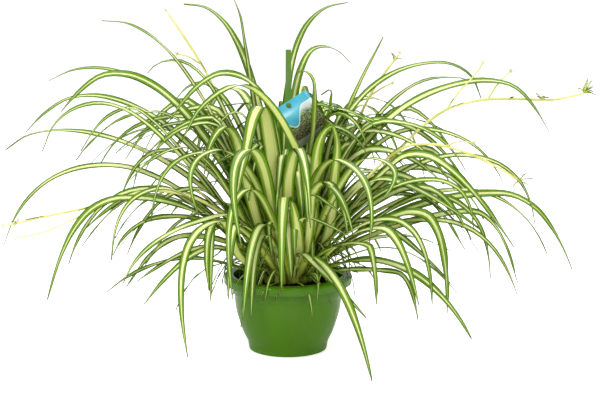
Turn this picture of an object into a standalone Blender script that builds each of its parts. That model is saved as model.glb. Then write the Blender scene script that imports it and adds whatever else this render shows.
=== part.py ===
"""Potted spider plant: a leafy clump with flower stalks in a glossy green plastic pot, with its label.

Metres, +Z up. The origin is the centre of the pot's flat underside, +X is to the right and -Y is the front.
"""

import math
from typing import NamedTuple

import bmesh
import bpy
from mathutils import Matrix, Vector
from mathutils.bvhtree import BVHTree

MM = 0.001
CM = 0.01
GAP = 0.3 * MM

# The pot: a bowl on a short foot, with a lip that folds out and down over a plain collar.
POT_HEIGHT = 108 * MM
POT_WALL = 1.8 * MM
POT_FLOOR = 2.2 * MM
LIP_RADIUS = 90 * MM
LIP_DROP = 12 * MM
LIP_ROUND = 4 * MM
COLLAR_RADIUS = 78 * MM
COLLAR_BOTTOM = 82.7 * MM
# Radius and height of the bowl's outside, from the foot up to the collar, in millimetres.
BOWL_OUTLINE = [
    (52.5, 0),
    (55, 1.2),
    (55.6, 5),
    (56.8, 12),
    (63, 24.5),
    (69.4, 43.5),
    (73.6, 59.5),
    (75.8, 77),
]
DRAIN_HOLES = 5
DRAIN_RADIUS = 4 * MM
DRAIN_CIRCLE = 34 * MM
POT_STEPS = 48

SOIL_LEVEL = 100 * MM
CROWN_RADIUS = 41 * MM
CROWN_HEIGHT = 7 * MM
CROWN_TOP = SOIL_LEVEL + GAP + CROWN_HEIGHT
ROOT_HEIGHT = CROWN_TOP + GAP

# The label hangs on a flat stake by a peg near its top edge.
STAKE_X = 1 * MM
STAKE_Y = 0 * MM
STAKE_TOP = 424 * MM
STAKE_POINT = 40 * MM
STAKE_POINT_LENGTH = 25 * MM
STAKE_SHOULDER = 120 * MM  # above the soil
STAKE_WIDTH = 11 * MM
STAKE_TOP_WIDTH = 7.5 * MM
STAKE_THICKNESS = 1.6 * MM
CARD_WIDTH = 54 * MM
CARD_HEIGHT = 64 * MM
CARD_THICKNESS = 0.6 * MM
CARD_CORNER = 4 * MM
CARD_TILT = math.radians(33)
PEG_FROM_LEFT = 22 * MM
PEG_FROM_TOP = 5 * MM
PEG_HEIGHT = 347 * MM
PEG_RADIUS = 2 * MM
PEG_HEAD_RADIUS = 3.5 * MM
PEG_HEAD_HEIGHT = 1.4 * MM

# Leaves are channelled blades: the midrib lies lower than the two edges.
LEAF_STATIONS = 14
LEAF_BASE_WIDTH = 9 * MM
LEAF_THICKNESS = 1.1 * MM
LEAF_TIP_THICKNESS = 0.6 * MM
LEAF_CHANNEL = 0.17
LEAF_WIDEST = 0.38
LEAF_TIP_SHARE = 0.1
# Rings of roots: radius in millimetres, and the share of the neighbouring leaves that stand more upright.
ROOT_RINGS = [(13, 0.13), (21, 0.34), (29, 0.63), (37, 1)]
NEIGHBOURHOOD = 40  # degrees to either side of a leaf
CLEARANCE = 0.9 * MM

STALK_RADIUS = 1.7 * MM
BRANCH_RADIUS = 1.1 * MM
STALK_SIDES = 6


class Leaf(NamedTuple):
    """Direction in degrees, highest point and tip as (outwards, up) in centimetres, width in millimetres.

    rise and drop say how far out the blade bends over, as shares of its rising and falling run. swing turns
    the tip sideways, in degrees, and sway moves the rising run sideways, in centimetres.
    """

    direction: float
    peak: tuple
    tip: tuple
    width: float
    rise: float = 0.45
    drop: float = 0.6
    swing: float = 0
    sway: float = 0


LEAVES = [
    # Left side, from the top down.
    Leaf(180, (24, 46.3), (25.5, 46.4), 10, rise=0.25),
    Leaf(166, (14, 48.2), (15.5, 48.2), 14, rise=0.2),
    Leaf(172, (7, 49.2), (7.5, 49.4), 13, rise=0.95),
    Leaf(172, (28, 39.5), (34, 37.5), 10, rise=0.35, drop=0.4),
    Leaf(196, (24.5, 40), (31.5, 35), 20, rise=0.5, drop=0.4),
    Leaf(186, (28, 36.5), (36, 31.5), 12, rise=0.35, drop=0.45),
    Leaf(202, (27, 36.5), (35, 30.5), 10, rise=0.6, drop=0.8),
    Leaf(212, (22.5, 35.5), (29.5, 30), 12, rise=0.5, drop=0.55),
    Leaf(150, (14.5, 37), (20.5, 32), 10, rise=0.4, drop=0.35),
    Leaf(222, (10, 39.7), (18, 33.5), 16, rise=-0.3, drop=0.4),
    Leaf(176, (32, 30.5), (40.5, 27.5), 12, rise=0.45, drop=0.7),
    Leaf(189, (25.5, 27), (39.5, 16), 13, rise=0.55, drop=0.75),
    Leaf(204, (25, 23.5), (35, 10.5), 17, rise=0.4, drop=0.65),
    Leaf(226, (14, 21.2), (32, 15), 14, rise=0.4, drop=0.8),
    Leaf(216, (21, 25.3), (28.5, 16.5), 12, rise=0.7, drop=0.95),
    Leaf(192, (17.5, 29), (23.5, 22.5), 13, rise=0.45, drop=0.6),
    Leaf(222, (16, 29.8), (24, 21.5), 13, rise=0.3, drop=0.9),
    # Top and right side, from the top down.
    Leaf(25, (7.8, 48.5), (8.5, 48.7), 15, rise=-0.9, sway=4.8),
    Leaf(48, (6.5, 42.3), (13.5, 39.5), 14, rise=-0.6, drop=0.55),
    Leaf(300, (5, 40), (2, 39), 18, rise=0.9, drop=0.5, sway=4),
    Leaf(320, (7, 37.5), (5.5, 36.5), 16, rise=0.8, drop=0.5, sway=3),
    Leaf(8, (21, 40.3), (27.5, 35), 10, rise=0.2, drop=0.8),
    Leaf(354, (28.5, 38.5), (36, 31.5), 14, rise=0.3, drop=0.5),
    Leaf(350, (24, 28.4), (34.5, 18.5), 14, rise=0.55, drop=0.9),
    Leaf(336, (19, 29.3), (33, 17.5), 17, rise=0.6, drop=0.4),
    Leaf(326, (24, 26.6), (29.5, 20.5), 14, rise=0.5, drop=0.95),
    Leaf(356, (29.5, 22.7), (39.7, 12), 14, rise=0.45, drop=0.6),
    Leaf(342, (20.5, 23.3), (29, 12.2), 13, rise=0.75, drop=0.95),
    Leaf(6, (26, 19.2), (33, 8.7), 12, rise=0.6, drop=0.6),
    Leaf(332, (20, 21.5), (24.5, 8), 18, rise=0.6, drop=0.95),
    Leaf(322, (18, 20.8), (24.5, 10), 13, rise=0.6, drop=0.9),
    Leaf(314, (18.5, 20), (25, 10.5), 16, rise=0.6, drop=0.5),
    Leaf(326, (15, 14.5), (29.5, 5.7), 16, rise=0.6, drop=0.6),
    # Front, hanging towards the viewer.
    Leaf(236, (17, 30.7), (27, 23.8), 14, rise=0.4, drop=0.85, swing=10),
    Leaf(255, (20, 31.6), (34, 21.7), 18, rise=0.4, drop=0.75, swing=6),
    Leaf(268, (12, 23.9), (20, 13), 17, rise=0.3, drop=0.85),
    Leaf(277, (13, 30.7), (25, 22.5), 14, rise=0.3, drop=0.8),
    Leaf(297, (15, 29.3), (29, 21), 16, rise=0.4, drop=0.8, swing=-6),
    Leaf(311, (17, 29.5), (26, 25.5), 14, rise=0.5, drop=0.9, swing=-14),
    Leaf(235, (17, 21), (28, 5.6), 14, rise=0.5, drop=0.9, swing=8),
    Leaf(249, (15, 25.4), (25, 13), 13, rise=0.4, drop=0.9, swing=5),
    Leaf(290, (11, 15.2), (26, 2), 14, rise=0.5, drop=0.85, swing=5),
    # Back, arching away.
    Leaf(48, (16, 34), (31, 20), 14, drop=0.7),
    Leaf(66, (14, 33), (28, 21), 16, drop=0.8),
    Leaf(84, (17, 35), (33, 22), 14, drop=0.7),
    Leaf(101, (14, 30), (30, 15), 16, drop=0.8),
    Leaf(118, (16, 35), (31, 21), 14, drop=0.7),
    Leaf(137, (18, 32), (33, 17), 16, drop=0.7),
]

# Each flower stalk is a main run and its side branches, as points (x, y, z) in centimetres.
STALKS = {
    "flower_stalk_right_high": [
        [(1.7, 0.2, 11), (5, -0.6, 15.5), (9.4, -1.5, 21), (15.6, -2, 29), (20.8, -2.2, 33.8),
         (26, -2.2, 35.6), (31.4, -2, 35.8), (36.7, -1.8, 35.7), (40.8, -1.8, 36.6)],
        [(21.8, -2.2, 34.3), (23.3, -2.8, 36.7), (25.6, -3.2, 39.4), (26.6, -3.4, 41)],
        [(27.4, -2.2, 35.7), (28.8, -1.4, 37.7), (30.6, -1, 39.5)],
    ],
    "flower_stalk_right_low": [
        [(1.5, -0.8, 11), (8, -3.4, 21.5), (14.5, -5.2, 28.8), (19, -6, 30.2), (24, -6.5, 29.2),
         (29, -7, 26.9), (31.5, -7, 25.2)],
        [(21.4, -6.2, 29.9), (23, -7.6, 30.8), (24.8, -8.4, 30.8)],
    ],
    "flower_stalk_up_right": [
        [(0.7, 1.6, 11), (5, 2.4, 20), (9.2, 3, 30.5), (12, 3.2, 36.5), (15.6, 3.4, 41.5)],
        [(11.6, 3.2, 35.6), (13.2, 2.4, 36.8), (14.4, 2.2, 37.4)],
    ],
    "flower_stalk_left": [
        [(-1.5, -0.8, 11), (-6, -5, 18), (-12.2, -7, 22.8), (-18.8, -7.5, 24), (-25, -7.5, 22.2),
         (-33.2, -7.5, 20.4), (-38.4, -7.5, 19.2)],
        [(-24.6, -7.5, 22.4), (-27.6, -8.6, 21), (-32.4, -9.6, 18.9), (-36.4, -9.8, 18)],
    ],
    "flower_stalk_up_left": [
        [(-1.4, 1, 11), (-4.5, 2, 20), (-7.8, 2.6, 30.5), (-11.4, 3, 38.8), (-14.4, 3, 43.8),
         (-16.8, 3, 47.4)],
        [(-12.2, 3, 40.1), (-13.8, 2, 41.2), (-15.2, 1.6, 41.6)],
    ],
}


def clear_scene():
    for old in list(bpy.data.objects):
        bpy.data.objects.remove(old)


def finish(name, red, green, blue, roughness):
    made = bpy.data.materials.new(name)
    made.use_nodes = True
    shader = made.node_tree.nodes["Principled BSDF"]
    shader.inputs["Base Color"].default_value = (red, green, blue, 1)
    shader.inputs["Roughness"].default_value = roughness
    shader.inputs["Metallic"].default_value = 0
    made.diffuse_color = (red, green, blue, 1)
    return made


def place_mesh(name, mesh, look, smooth_below=40):
    """Turns a bmesh into an object with outward faces, shaded smooth below the given angle in degrees."""
    bmesh.ops.recalc_face_normals(mesh, faces=mesh.faces)
    data = bpy.data.meshes.new(name)
    mesh.to_mesh(data)
    mesh.free()
    data.materials.append(look)
    data.shade_smooth()
    data.set_sharp_from_angle(angle=math.radians(smooth_below))
    made = bpy.data.objects.new(name, data)
    bpy.context.scene.collection.objects.link(made)
    return made


def arc(radius_at, height_at, round_radius, start, end, count):
    """Points (radius, height) along a round corner, from the start angle to the end angle in degrees."""
    points = []
    for step in range(count + 1):
        turn = math.radians(start + (end - start) * step / count)
        across = round_radius * math.cos(turn)
        points.append((radius_at + across, height_at + round_radius * math.sin(turn)))
    return points


def spun(outline, steps=POT_STEPS):
    """A bmesh turned round Z from an outline of (radius, height) that starts and ends on the axis."""
    mesh = bmesh.new()
    corners = [mesh.verts.new((radius, 0, height)) for radius, height in outline]
    edges = [mesh.edges.new(pair) for pair in zip(corners, corners[1:])]
    bmesh.ops.spin(mesh, geom=corners + edges, axis=(0, 0, 1), cent=(0, 0, 0), angle=math.tau, steps=steps,
                   use_merge=True)
    bmesh.ops.remove_doubles(mesh, verts=mesh.verts, dist=0.01 * MM)
    return mesh


def extruded(outline, thickness):
    """A bmesh plate from an outline of (x, z), from y = 0 back to y = thickness."""
    mesh = bmesh.new()
    face = mesh.faces.new([mesh.verts.new((x, 0, z)) for x, z in outline])
    made = bmesh.ops.extrude_face_region(mesh, geom=[face])["geom"]
    moved = [item for item in made if isinstance(item, bmesh.types.BMVert)]
    bmesh.ops.translate(mesh, vec=(0, thickness, 0), verts=moved)
    return mesh


def combine(target, tool, operation):
    """Adds or cuts with a tool object, which stays in the file as a hidden wire."""
    tool.hide_render = True
    tool.display_type = "WIRE"
    modifier = target.modifiers.new(tool.name, "BOOLEAN")
    modifier.operation = operation
    modifier.solver = "EXACT"
    modifier.object = tool


def bowl_outside(inward=0.0, above=-1.0):
    """The bowl's outline moved inward, from the part of it that is above a height."""
    return [(radius * MM - inward, height * MM) for radius, height in BOWL_OUTLINE if height * MM > above]


def make_pot(look):
    collar_inside = COLLAR_RADIUS - POT_WALL
    lip_inside = LIP_RADIUS - POT_WALL
    lip_bottom = POT_HEIGHT - LIP_DROP
    lip_under = POT_HEIGHT - POT_WALL
    outline = [(0, 0)] + bowl_outside()
    outline += [(collar_inside, COLLAR_BOTTOM - 1 * MM), (COLLAR_RADIUS, COLLAR_BOTTOM)]
    outline += [(COLLAR_RADIUS, lip_under), (lip_inside, lip_under), (lip_inside, lip_bottom)]
    outline += [(LIP_RADIUS, lip_bottom)]
    outline += arc(LIP_RADIUS - LIP_ROUND, POT_HEIGHT - LIP_ROUND, LIP_ROUND, 0, 90, 4)
    outline += arc(collar_inside + 2 * MM, POT_HEIGHT - 2 * MM, 2 * MM, 90, 180, 3)
    outline += [(collar_inside, COLLAR_BOTTOM)]
    outline += reversed(bowl_outside(inward=POT_WALL, above=POT_FLOOR))
    outline += [(bowl_outside()[0][0] - POT_WALL, POT_FLOOR), (0, POT_FLOOR)]
    pot = place_mesh("pot", spun(outline), look)
    for hole in range(DRAIN_HOLES):
        turn = math.tau * hole / DRAIN_HOLES
        middle = Vector((DRAIN_CIRCLE * math.cos(turn), DRAIN_CIRCLE * math.sin(turn), 0))
        cutter = bmesh.new()
        bmesh.ops.create_cone(cutter, cap_ends=True, segments=16, radius1=DRAIN_RADIUS,
                              radius2=DRAIN_RADIUS, depth=3 * POT_FLOOR, matrix=Matrix.Translation(middle))
        combine(pot, place_mesh(f"drain_cutter_{hole + 1}", cutter, look), "DIFFERENCE")
    return pot


def slot_cutter(name, bottom, look):
    """A block a little larger than the stake, from a height upwards."""
    cutter = bmesh.new()
    size = (STAKE_WIDTH + 2 * GAP, STAKE_THICKNESS + 2 * GAP, STAKE_TOP - bottom)
    middle = (STAKE_X, STAKE_Y, (STAKE_TOP + bottom) / 2)
    bmesh.ops.create_cube(cutter, size=1, matrix=Matrix.LocRotScale(Vector(middle), None, Vector(size)))
    return place_mesh(name, cutter, look)


def make_soil(look):
    inside = POT_WALL + GAP
    floor = POT_FLOOR + GAP
    outline = [(0, floor), (bowl_outside()[0][0] - inside, floor)]
    outline += bowl_outside(inward=inside, above=floor + GAP)
    outline += [(COLLAR_RADIUS - inside - 1 * MM, COLLAR_BOTTOM - 1 * MM)]
    outline += [(COLLAR_RADIUS - inside, SOIL_LEVEL), (0, SOIL_LEVEL)]
    soil = place_mesh("potting_soil", spun(outline), look)
    combine(soil, slot_cutter("soil_slot_cutter", STAKE_POINT - GAP, look), "DIFFERENCE")
    return soil


def make_crown(look):
    bottom = SOIL_LEVEL + GAP
    edge = 3 * MM
    outline = [(0, bottom), (CROWN_RADIUS, bottom)]
    outline += arc(CROWN_RADIUS - edge, CROWN_TOP - edge, edge, 0, 90, 3)
    outline += [(0, CROWN_TOP)]
    crown = place_mesh("crown", spun(outline, steps=32), look)
    combine(crown, slot_cutter("crown_slot_cutter", SOIL_LEVEL - 5 * MM, look), "DIFFERENCE")
    return crown


def peg_hole_cutter(name, radius, look):
    cutter = bmesh.new()
    across = Matrix.Translation((STAKE_X, STAKE_Y, PEG_HEIGHT)) @ Matrix.Rotation(math.pi / 2, 4, "X")
    bmesh.ops.create_cone(cutter, cap_ends=True, segments=16, radius1=radius, radius2=radius, depth=20 * MM,
                          matrix=across)
    return place_mesh(name, cutter, look)


def make_stake(look):
    half = STAKE_WIDTH / 2
    shoulder = SOIL_LEVEL + STAKE_SHOULDER
    point_end = STAKE_POINT + STAKE_POINT_LENGTH
    right_side = [(half, point_end), (half, shoulder), (STAKE_TOP_WIDTH / 2, STAKE_TOP)]
    left_side = [(-x, height) for x, height in reversed(right_side)]
    outline = [(0, STAKE_POINT)] + right_side + left_side
    plate = extruded(outline, STAKE_THICKNESS)
    bmesh.ops.translate(plate, vec=(STAKE_X, STAKE_Y - STAKE_THICKNESS / 2, 0), verts=plate.verts)
    stake = place_mesh("label_stake", plate, look)
    combine(stake, peg_hole_cutter("stake_hole_cutter", PEG_RADIUS + GAP, look), "DIFFERENCE")
    return stake


def card_outline():
    """The card's rounded outline, with the peg's hole at (0, 0) and the card upright."""
    left = CARD_CORNER - PEG_FROM_LEFT
    right = CARD_WIDTH - CARD_CORNER - PEG_FROM_LEFT
    top = PEG_FROM_TOP - CARD_CORNER
    bottom = PEG_FROM_TOP - CARD_HEIGHT + CARD_CORNER
    outline = arc(right, top, CARD_CORNER, 0, 90, 4) + arc(left, top, CARD_CORNER, 90, 180, 4)
    outline += arc(left, bottom, CARD_CORNER, 180, 270, 4)
    return outline + arc(right, bottom, CARD_CORNER, 270, 360, 4)


def make_card(look):
    plate = extruded(card_outline(), CARD_THICKNESS)
    front = STAKE_Y - STAKE_THICKNESS / 2 - GAP - CARD_THICKNESS
    put = Matrix.Translation((STAKE_X, front, PEG_HEIGHT)) @ Matrix.Rotation(-CARD_TILT, 4, "Y")
    bmesh.ops.transform(plate, matrix=put, verts=plate.verts)
    card = place_mesh("label_card", plate, look)
    combine(card, peg_hole_cutter("card_hole_cutter", PEG_RADIUS + GAP, look), "DIFFERENCE")
    return card


def make_peg(look):
    """A domed head in front, a shank through card and stake, and a flange behind."""
    front = STAKE_THICKNESS / 2 + GAP + CARD_THICKNESS + GAP
    back = -STAKE_THICKNESS / 2 - GAP
    outline = [(0, back - 1 * MM), (PEG_RADIUS + 1 * MM, back - 1 * MM), (PEG_RADIUS + 1 * MM, back)]
    outline += [(PEG_RADIUS, back), (PEG_RADIUS, front), (PEG_HEAD_RADIUS, front)]
    outline += [(0.8 * PEG_HEAD_RADIUS, front + 0.6 * PEG_HEAD_HEIGHT), (0, front + PEG_HEAD_HEIGHT)]
    peg = spun(outline, steps=14)
    put = Matrix.Translation((STAKE_X, STAKE_Y, PEG_HEIGHT)) @ Matrix.Rotation(math.pi / 2, 4, "X")
    bmesh.ops.transform(peg, matrix=put, verts=peg.verts)
    return place_mesh("label_peg", peg, look)


def evenly(points, count):
    """The same route through count points at equal distances."""
    reach = [0.0]
    for before, after in zip(points, points[1:]):
        reach.append(reach[-1] + (after - before).length)
    spaced = []
    leg = 0
    for step in range(count):
        wanted = reach[-1] * step / (count - 1)
        while leg < len(points) - 2 and reach[leg + 1] < wanted:
            leg += 1
        share = (wanted - reach[leg]) / (reach[leg + 1] - reach[leg])
        spaced.append(points[leg].lerp(points[leg + 1], share))
    return spaced


def bent(start, corner, end, steps=24):
    """A quadratic curve from start to end that heads for corner."""
    shares = [step / steps for step in range(steps + 1)]
    return [start * (1 - s) ** 2 + corner * (2 * s * (1 - s)) + end * s**2 for s in shares]


def smooth_route(points, count):
    """An even route along a Catmull-Rom curve through the points, given in centimetres."""
    knots = [Vector(point) * CM for point in points]
    knots = [2 * knots[0] - knots[1]] + knots + [2 * knots[-1] - knots[-2]]
    fine = []
    for a, b, c, d in zip(knots, knots[1:], knots[2:], knots[3:]):
        for step in range(12):
            s = step / 12
            bend = (2 * a - 5 * b + 4 * c - d) * s**2 + (3 * b - a - 3 * c + d) * s**3
            fine.append(0.5 * (2 * b + (c - a) * s + bend))
    return evenly(fine + [knots[-2]], count)


def skinned(rings):
    """Points and faces of a closed solid through rings that all have the same number of points."""
    sides = len(rings[0])
    points = [point for ring in rings for point in ring]
    faces = [tuple(reversed(range(sides)))]
    for start in range(0, len(points) - sides, sides):
        for side in range(sides):
            after = (side + 1) % sides
            faces.append((start + side, start + after, start + sides + after, start + sides + side))
    faces.append(tuple(range(len(points) - sides, len(points))))
    return points, faces


def place_skin(name, rings, look):
    points, faces = skinned(rings)
    mesh = bmesh.new()
    corners = [mesh.verts.new(point) for point in points]
    for face in faces:
        mesh.faces.new([corners[index] for index in face])
    return place_mesh(name, mesh, look, smooth_below=60)


def blade_width(share, widest):
    """Width of a blade at a share of its length: a narrow sheath, a full middle and a long taper."""
    if share < LEAF_WIDEST:
        swell = math.sin(math.pi / 2 * share / LEAF_WIDEST)
        return LEAF_BASE_WIDTH + (widest - LEAF_BASE_WIDTH) * swell
    taper = ((share - LEAF_WIDEST) / (1 - LEAF_WIDEST)) ** 2
    return widest * (1 - (1 - LEAF_TIP_SHARE) * taper)


def midrib(leaf, root):
    """The leaf's midrib, from its root up to the highest point and over to the tip."""
    heading = math.radians(leaf.direction)
    out = Vector((math.cos(heading), math.sin(heading), 0))
    peak_out, peak_up = leaf.peak
    tip_out, tip_up = leaf.tip
    root_out = root.length / CM
    rising = root_out + leaf.rise * (peak_out - root_out)
    falling = peak_out + leaf.drop * (tip_out - peak_out)
    start = Vector((root.x, root.y, ROOT_HEIGHT))
    up = Vector((0, 0, CM))
    peak = out * peak_out * CM + up * peak_up
    tip = Matrix.Rotation(math.radians(leaf.swing), 3, "Z") @ out * tip_out * CM + up * tip_up
    side = Vector((-out.y, out.x, 0))
    first = bent(start, (out * rising + side * leaf.sway) * CM + up * peak_up, peak)
    second = bent(peak, out * falling * CM + up * peak_up, tip)
    return evenly(first + second[1:], LEAF_STATIONS)


def blade_rings(leaf, root, spare=0.0):
    """Four-point rings along a blade. spare makes it wider and thicker all round."""
    line = midrib(leaf, root)
    heading = math.radians(leaf.direction)
    side = Vector((-math.sin(heading), math.cos(heading), 0))
    rings = []
    for index, point in enumerate(line):
        share = index / (LEAF_STATIONS - 1)
        run = line[min(index + 1, LEAF_STATIONS - 1)] - line[max(index - 1, 0)]
        across = (side - run * (side.dot(run) / run.length_squared)).normalized()
        inner = run.cross(across).normalized()
        if index == 0:
            across, inner = side, Vector((-math.cos(heading), -math.sin(heading), 0))
        width = blade_width(share, leaf.width * MM) + 2 * spare
        thick = LEAF_THICKNESS + (LEAF_TIP_THICKNESS - LEAF_THICKNESS) * share + 2 * spare
        raised = inner * (LEAF_CHANNEL * width)
        rings.append([
            point - across * width / 2 + raised,
            point - inner * thick / 2,
            point + across * width / 2 + raised,
            point + inner * thick / 2,
        ])
    return rings


def tree_of(rings):
    return BVHTree.FromPolygons(*skinned(rings))


def tree_of_object(made):
    """The object's collision tree, with its modifiers applied."""
    graph = bpy.context.evaluated_depsgraph_get()
    return BVHTree.FromObject(made, graph)


def lean(leaf):
    peak_out, peak_up = leaf.peak
    return peak_out / (peak_up - ROOT_HEIGHT / CM)


def turn_between(first, second):
    """The angle from one direction to another, between -180 and 180 degrees."""
    return (second - first + 180) % 360 - 180


def ring_angles(directions):
    """Even places round a ring for sorted directions, in degrees, with the ring turned to suit them."""
    spacing = 360 / len(directions)
    gaps = [math.radians(direction - spacing * place) for place, direction in enumerate(directions)]
    middle = sum((Vector((math.cos(gap), math.sin(gap))) for gap in gaps), Vector((0, 0)))
    start = math.degrees(math.atan2(middle.y, middle.x))
    return [start + spacing * place for place in range(len(directions))]


def uprightness_rank(index):
    """From 0 to 1, how many of the leaves that head much the same way stand more upright than this one."""
    leaf = LEAVES[index]
    near = [other for other in LEAVES if abs(turn_between(other.direction, leaf.direction)) < NEIGHBOURHOOD]
    return sum(lean(other) < lean(leaf) for other in near) / len(near)


def choose_roots():
    """A root for every leaf: upright leaves grow from the inner rings and leaning leaves from the outer."""
    order = sorted(range(len(LEAVES)), key=lambda index: lean(LEAVES[index]))
    roots = {}
    lowest_rank = 0
    for radius, highest_rank in ROOT_RINGS:
        members = [index for index in order if lowest_rank <= uprightness_rank(index) < highest_rank]
        members.sort(key=lambda index: LEAVES[index].direction)
        angles = ring_angles([LEAVES[index].direction for index in members])
        for index, angle in zip(members, angles):
            turned = math.radians(angle)
            roots[index] = Vector((math.cos(turned), math.sin(turned))) * radius * MM
        lowest_rank = highest_rank
    return {index: roots[index] for index in order}


def small_changes():
    """Changes to try on a blade, smallest first: a turn in degrees and a change of rise."""
    tries = [(turn, 0.08 * bend) for turn in range(-16, 17) for bend in range(-4, 5)]
    return sorted(tries, key=lambda change: abs(change[0]) + 40 * abs(change[1]))


def fit_leaf(leaf, root, obstacles):
    """The leaf with the smallest change that clears every obstacle."""
    for turn, bend in small_changes():
        changed = leaf._replace(direction=leaf.direction + turn, rise=leaf.rise + bend)
        blade = tree_of(blade_rings(changed, root, spare=CLEARANCE / 2))
        if not any(blade.overlap(other) for other in obstacles):
            return changed
    raise ValueError(f"no clear place for {leaf}")


def make_leaves(obstacles, look):
    """Places every blade, the most upright first, and each clear of all before it."""
    for index, root in choose_roots().items():
        leaf = LEAVES[index]
        fitted = fit_leaf(leaf, root, obstacles)
        rings = blade_rings(fitted, root)
        obstacles.append(tree_of(rings))
        place_skin(f"leaf_{index + 1:02d}", rings, look)


def tube_rings(route, thick, thin):
    """Round rings along a route, tapering from the thick radius to the thin one."""
    rings = []
    for index, point in enumerate(route):
        run = route[min(index + 1, len(route) - 1)] - route[max(index - 1, 0)]
        across = run.cross(Vector((0, 1, 0.1))).normalized()
        other = run.cross(across).normalized()
        radius = thick + (thin - thick) * index / (len(route) - 1)
        around = [math.tau * side / STALK_SIDES for side in range(STALK_SIDES)]
        rings.append([point + (across * math.cos(a) + other * math.sin(a)) * radius for a in around])
    return rings


def make_stalk(name, runs, look):
    """One flower stalk: its main run, joined with its side branches into one solid."""
    main = smooth_route(runs[0], 16)
    stalk = place_skin(name, tube_rings(main, STALK_RADIUS, BRANCH_RADIUS), look)
    for number, run in enumerate(runs[1:]):
        rings = tube_rings(smooth_route(run, 6), BRANCH_RADIUS, 0.6 * BRANCH_RADIUS)
        combine(stalk, place_skin(f"{name}_branch_{number + 1}", rings, look), "UNION")
    return stalk


def main():
    clear_scene()
    pot_green = finish("glossy green pot plastic", 0.06, 0.17, 0.008, 0.3)
    soil_brown = finish("potting soil", 0.018, 0.012, 0.008, 0.95)
    crown_green = finish("pale leaf base", 0.38, 0.45, 0.17, 0.6)
    stake_green = finish("green stake plastic", 0.12, 0.26, 0.02, 0.45)
    card_blue = finish("printed label card", 0.06, 0.42, 0.5, 0.4)
    leaf_green = finish("striped leaf", 0.3, 0.45, 0.12, 0.45)
    stalk_yellow = finish("flower stalk", 0.62, 0.6, 0.2, 0.5)
    make_pot(pot_green)
    make_soil(soil_brown)
    make_crown(crown_green)
    stake = make_stake(stake_green)
    card = make_card(card_blue)
    peg = make_peg(stake_green)
    stalks = [make_stalk(name, runs, stalk_yellow) for name, runs in STALKS.items()]
    obstacles = [tree_of_object(made) for made in [stake, card, peg, *stalks]]
    make_leaves(obstacles, leaf_green)


main()
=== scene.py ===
# %% [markdown]
# # A potted spider plant
# The real object is a spider plant in a glossy green hanging-pot bowl, with a care card pegged to a stake.
# The measured model arrives first and stays fixed. Everything that shows is then made round it: finer leaves
# over the plain ones, the young leaves that fill the middle, flowers, soil, and a finish for every surface.

# %% Load the measured frame
import math
import random
from functools import partial

import bmesh
import bpy
from mathutils import Matrix, Vector
from mathutils import noise as field


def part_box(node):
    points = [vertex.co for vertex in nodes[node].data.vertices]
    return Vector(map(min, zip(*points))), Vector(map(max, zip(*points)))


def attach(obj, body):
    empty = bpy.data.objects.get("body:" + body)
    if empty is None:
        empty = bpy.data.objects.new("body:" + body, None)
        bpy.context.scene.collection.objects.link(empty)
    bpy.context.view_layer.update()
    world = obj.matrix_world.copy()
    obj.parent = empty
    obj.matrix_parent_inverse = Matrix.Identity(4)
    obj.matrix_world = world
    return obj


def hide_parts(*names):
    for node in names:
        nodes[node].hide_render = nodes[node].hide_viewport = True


MM = 0.001
CM = 0.01
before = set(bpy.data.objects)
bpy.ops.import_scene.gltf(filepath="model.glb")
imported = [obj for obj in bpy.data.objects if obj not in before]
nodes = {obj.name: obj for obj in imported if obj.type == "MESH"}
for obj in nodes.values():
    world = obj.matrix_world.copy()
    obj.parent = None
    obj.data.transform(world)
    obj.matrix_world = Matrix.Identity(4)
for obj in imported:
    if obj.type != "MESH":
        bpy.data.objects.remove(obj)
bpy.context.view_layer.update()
chance = random.Random(11)
print("the frame has", len(nodes), "solids")

# %% [markdown]
# ## The studio
# The plant stands on a pale sheet in soft light from all round, so the sheet runs on into a white surround.
# A sun or a bare point light would throw hard shadows between the leaves. Wide area lights and a pale
# world keep them soft. The surround looks white but lights the plant with less than that, so that the gaps
# between the leaves stay dark. The camera looks down a little, as one looks at a pot on a table.

# %% Camera
CAMERA_PLACE = Vector((0.017, -2.5, 0.70))
CAMERA_AIM = Vector((0.017, 0, 0.213))
CAMERA_LENS = 109.26

camera_data = bpy.data.cameras.new("camera")
camera_data.lens = CAMERA_LENS
camera_data.sensor_width = 36
camera = bpy.data.objects.new("camera", camera_data)
camera.location = CAMERA_PLACE
camera.rotation_euler = (CAMERA_AIM - CAMERA_PLACE).to_track_quat("-Z", "Y").to_euler()
bpy.context.scene.collection.objects.link(camera)
bpy.context.scene.camera = camera
bpy.context.scene.view_settings.view_transform = "Standard"
print("the camera is", round((CAMERA_AIM - CAMERA_PLACE).length, 2), "m away")

# %% Lights
LIGHTS = {
    "key_light": ((-1.4, -1.7, 1.7), 0.7, 30),
    "fill_light": ((0.95, -2.0, 1.5), 0.6, 15),
    "top_light": ((0.1, 0.2, 2.2), 1.2, 22),
    "back_light": ((0.6, 2.0, 1.6), 1.2, 12),
}
WORLD_GLOW = 0.5
WORLD_SEEN = 1.0


def make_light(name, place, side, watts):
    data = bpy.data.lights.new(name, "AREA")
    data.shape = "SQUARE"
    data.size = side
    data.energy = watts
    light = bpy.data.objects.new(name, data)
    light.location = place
    light.rotation_euler = (Vector((0, 0, 0.25)) - light.location).to_track_quat("-Z", "Y").to_euler()
    bpy.context.scene.collection.objects.link(light)


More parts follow.
